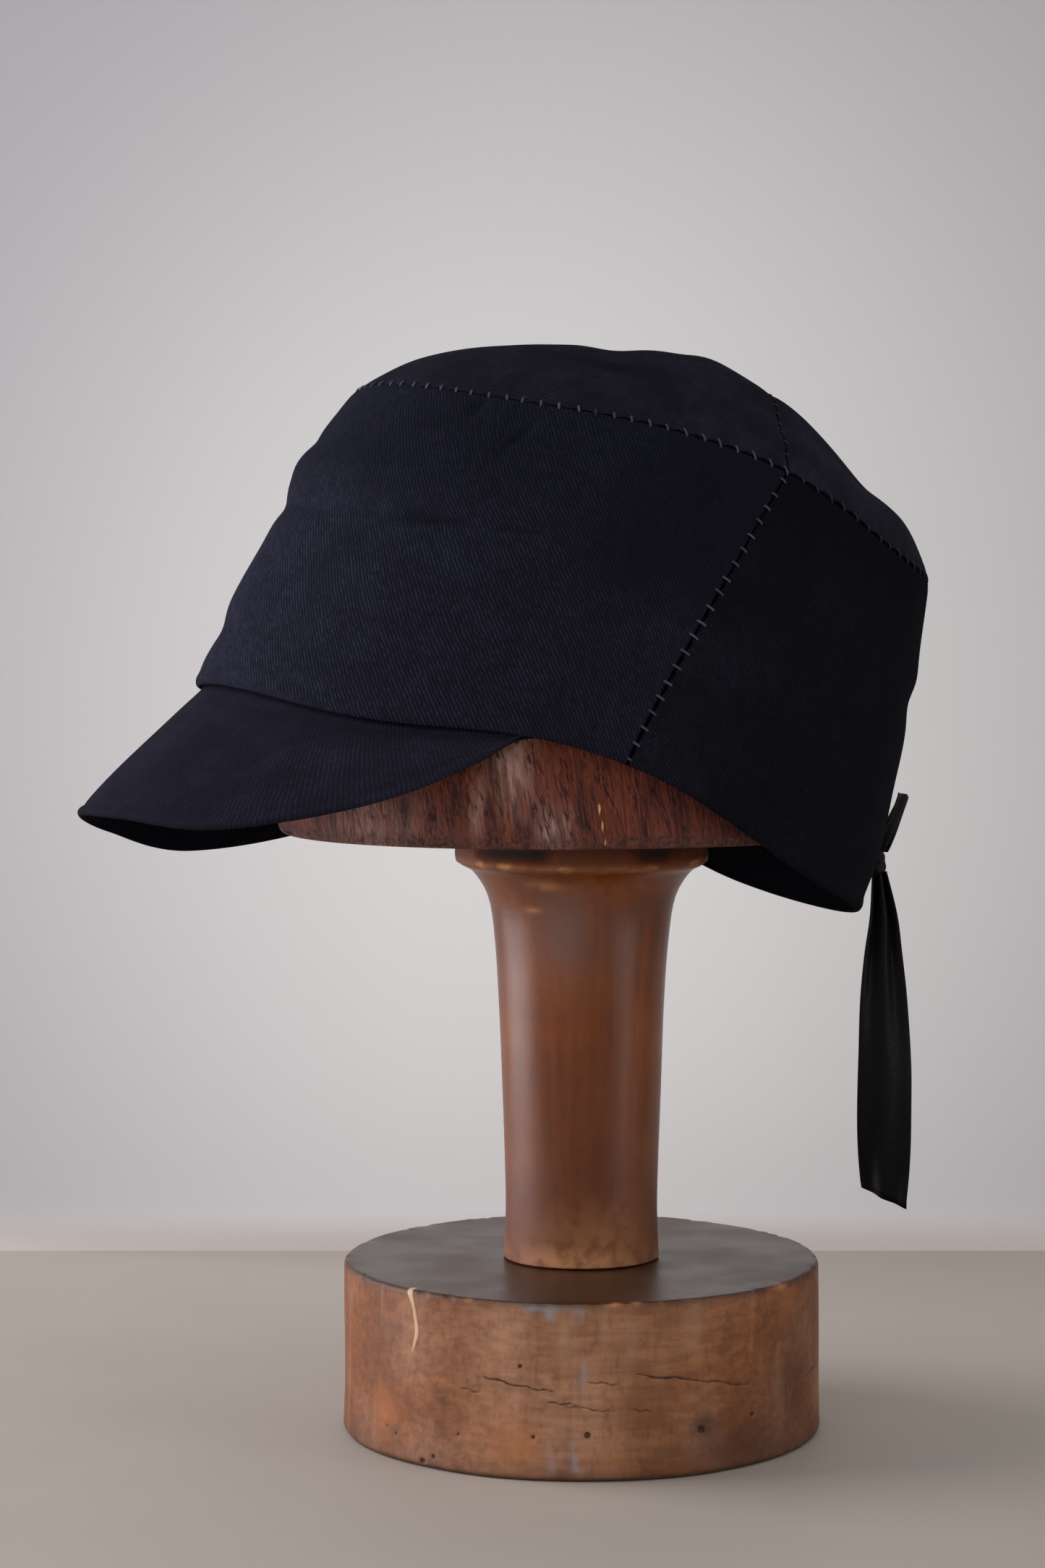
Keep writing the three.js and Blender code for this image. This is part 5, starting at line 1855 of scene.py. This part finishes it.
def add_stage():
    """Floor: one level square. Backdrop: a quarter-round cove and an upright line carried across the view,
    with a bell of width and height as the mark of its painted pool of light."""
    ahead, right = heading()
    reach = np.linspace(-FLOOR_REACH, FLOOR_REACH, FLOOR_STEPS)
    floor = np.stack(np.broadcast_arrays(reach[None, :], reach[:, None], -FLOOR_SINK), -1)
    turn = np.linspace(0, np.pi / 2, COVE_STEPS)
    upright = np.linspace(BACKDROP_COVE, BACKDROP_HEIGHT, BACKDROP_STEPS)[1:]
    back = BACKDROP_BEHIND - BACKDROP_COVE + BACKDROP_COVE * np.sin(turn)
    back = np.append(back, np.full(upright.shape, BACKDROP_BEHIND))[:, None, None]
    rise = np.append(BACKDROP_COVE * (1 - np.cos(turn)), upright)
    across = np.linspace(-BACKDROP_HALF_WIDTH, BACKDROP_HALF_WIDTH, BACKDROP_STEPS)
    glow = bell(across - PAINTED_LIGHT_POOL[0], PAINTED_LIGHT_POOL[2]) * bell(rise - PAINTED_LIGHT_POOL[1], PAINTED_LIGHT_POOL[3])[:, None]
    wall = ahead * back + right * across[None, :, None] + np.array([0, 0, 1]) * rise[:, None, None]
    write_piece("floor", [patch(floor)], floor_finish())
    write_piece("backdrop", [patch(wall, glow=glow)], backdrop_finish())


def add_light(name, right_of, ahead_of, height, size, power, colour, gleams):
    """Soft oblong light at a place given in the camera's level directions, aimed at the cap. One that does
    not gleam is left out of reflections."""
    ahead, right = heading()
    data = bpy.data.lights.new(name, "AREA")
    data.shape = "RECTANGLE"
    data.size, data.size_y = size[0] * MM, size[1] * MM
    data.energy = power
    data.color = colour
    light = bpy.data.objects.new(name, data)
    light.location = Vector((right * right_of + ahead * ahead_of) * MM)
    light.location.z = height * MM
    aim = Vector((0, 0, LIGHT_AIM * MM)) - light.location
    light.rotation_mode = "QUATERNION"
    light.rotation_quaternion = aim.to_track_quat("-Z", "Y")
    light.visible_glossy = gleams
    bpy.context.scene.collection.objects.link(light)


def add_world():
    """Surroundings that shine from the level and from overhead, dimmer to the right, behind the camera and
    below, and look as pale as the backdrop."""
    world = bpy.data.worlds.new("studio")
    bpy.context.scene.world = world
    world.use_nodes = True
    tree = world.node_tree
    light, shown = tree.nodes["Background"], node(tree, "ShaderNodeBackground", {0: opaque(WORLD_SEEN)})
    way = node(tree, "ShaderNodeTexCoord").outputs["Generated"]
    ahead, right = heading()
    dim_way = {0: way, 1: (right - ahead) / np.sqrt(2)}
    aside = node(tree, "ShaderNodeVectorMath", dim_way, operation="DOT_PRODUCT").outputs["Value"]
    up = height_of(tree, way)
    round_about = blend(tree, between(tree, aside, -0.5, 0.8), WORLD_LEVEL, WORLD_DIM)
    tree.links.new(blend(tree, between(tree, up, 0.1, 0.9), round_about, WORLD_OVERHEAD), light.inputs[0])
    tree.links.new(between(tree, up, -0.3, 0.0, 0.3, 1.0), light.inputs[1])
    camera_ray = node(tree, "ShaderNodeLightPath").outputs["Is Camera Ray"]
    mixed = node(tree, "ShaderNodeMixShader", {0: camera_ray, 1: light.outputs[0], 2: shown.outputs[0]})
    tree.links.new(mixed.outputs[0], tree.nodes["World Output"].inputs[0])


# Assembly
def dress(piece, slot, *nodes):
    """Puts a piece on the body, in place of the solids named. The slot is not used."""
    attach(piece, "root")
    if nodes:
        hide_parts(*nodes)
    return piece


def build_cap():
    cloth = {name: twill(name, *recipe) for name, recipe in TWILLS.items()}
    panels = [
        ("front_panel", wall_panel(True), "twill_front", "twill_front"),
        ("back_panel", wall_panel(False), "twill_back", "twill_back"),
        ("top_front", top_panel(True), "twill_top", "twill_front"),
        ("top_back", top_panel(False), "twill_top", "twill_back"),
        ("peak", peak_shell(), "twill_peak", "twill_peak"),
    ]
    for solid, patches, weave, slot in panels:
        dress(cap_piece(f"{solid}_cloth", patches, cloth[weave]), slot, solid)


def build_sewing():
    draw = np.random.default_rng(SEWING_SEED)
    thread = thread_finish()
    rows = {
        "top_seam_stitches": top_seam_stitches(draw),
        "left_seam_stitches": side_seam_stitches(draw, 1),
        "right_seam_stitches": side_seam_stitches(draw, -1),
        "cross_seam_stitches": cross_seam_stitches(draw),
    }
    for name, bars in rows.items():
        dress(cap_piece(name, bars, thread), "thread")
    dress(cap_piece("lint", lint(draw), lint_finish()), "thread")


def build_tie():
    finish = ribbon_finish()
    long_ribbon = ribbon(LONG_END, RIBBON_WIDTH, LONG_SLANT, LONG_STEPS)
    short_ribbon = ribbon(SHORT_END, SHORT_RIBBON_WIDTH, SHORT_SLANT, SHORT_STEPS)
    dress(write_piece("knot", knot(), finish), "ribbon", "tie_knot")
    long_end = dress(write_piece("long_end", long_ribbon, finish), "ribbon", "tie_long_end")
    short_end = dress(write_piece("short_end", short_ribbon, finish), "ribbon", "tie_short_end")


def build_stand():
    dress(block_piece(block_finish()), "block_wood", "stand_block")
    dress(column_piece(column_finish()), "column_wood", "stand_column")
    dress(base_piece(base_finish()), "base_wood", "stand_base")


bpy.context.scene.view_settings.view_transform = "Standard"
add_camera()
add_stage()
add_world()
for name, light in LIGHTS.items():
    add_light(name, *light)
build_cap()
build_sewing()
build_tie()
build_stand()
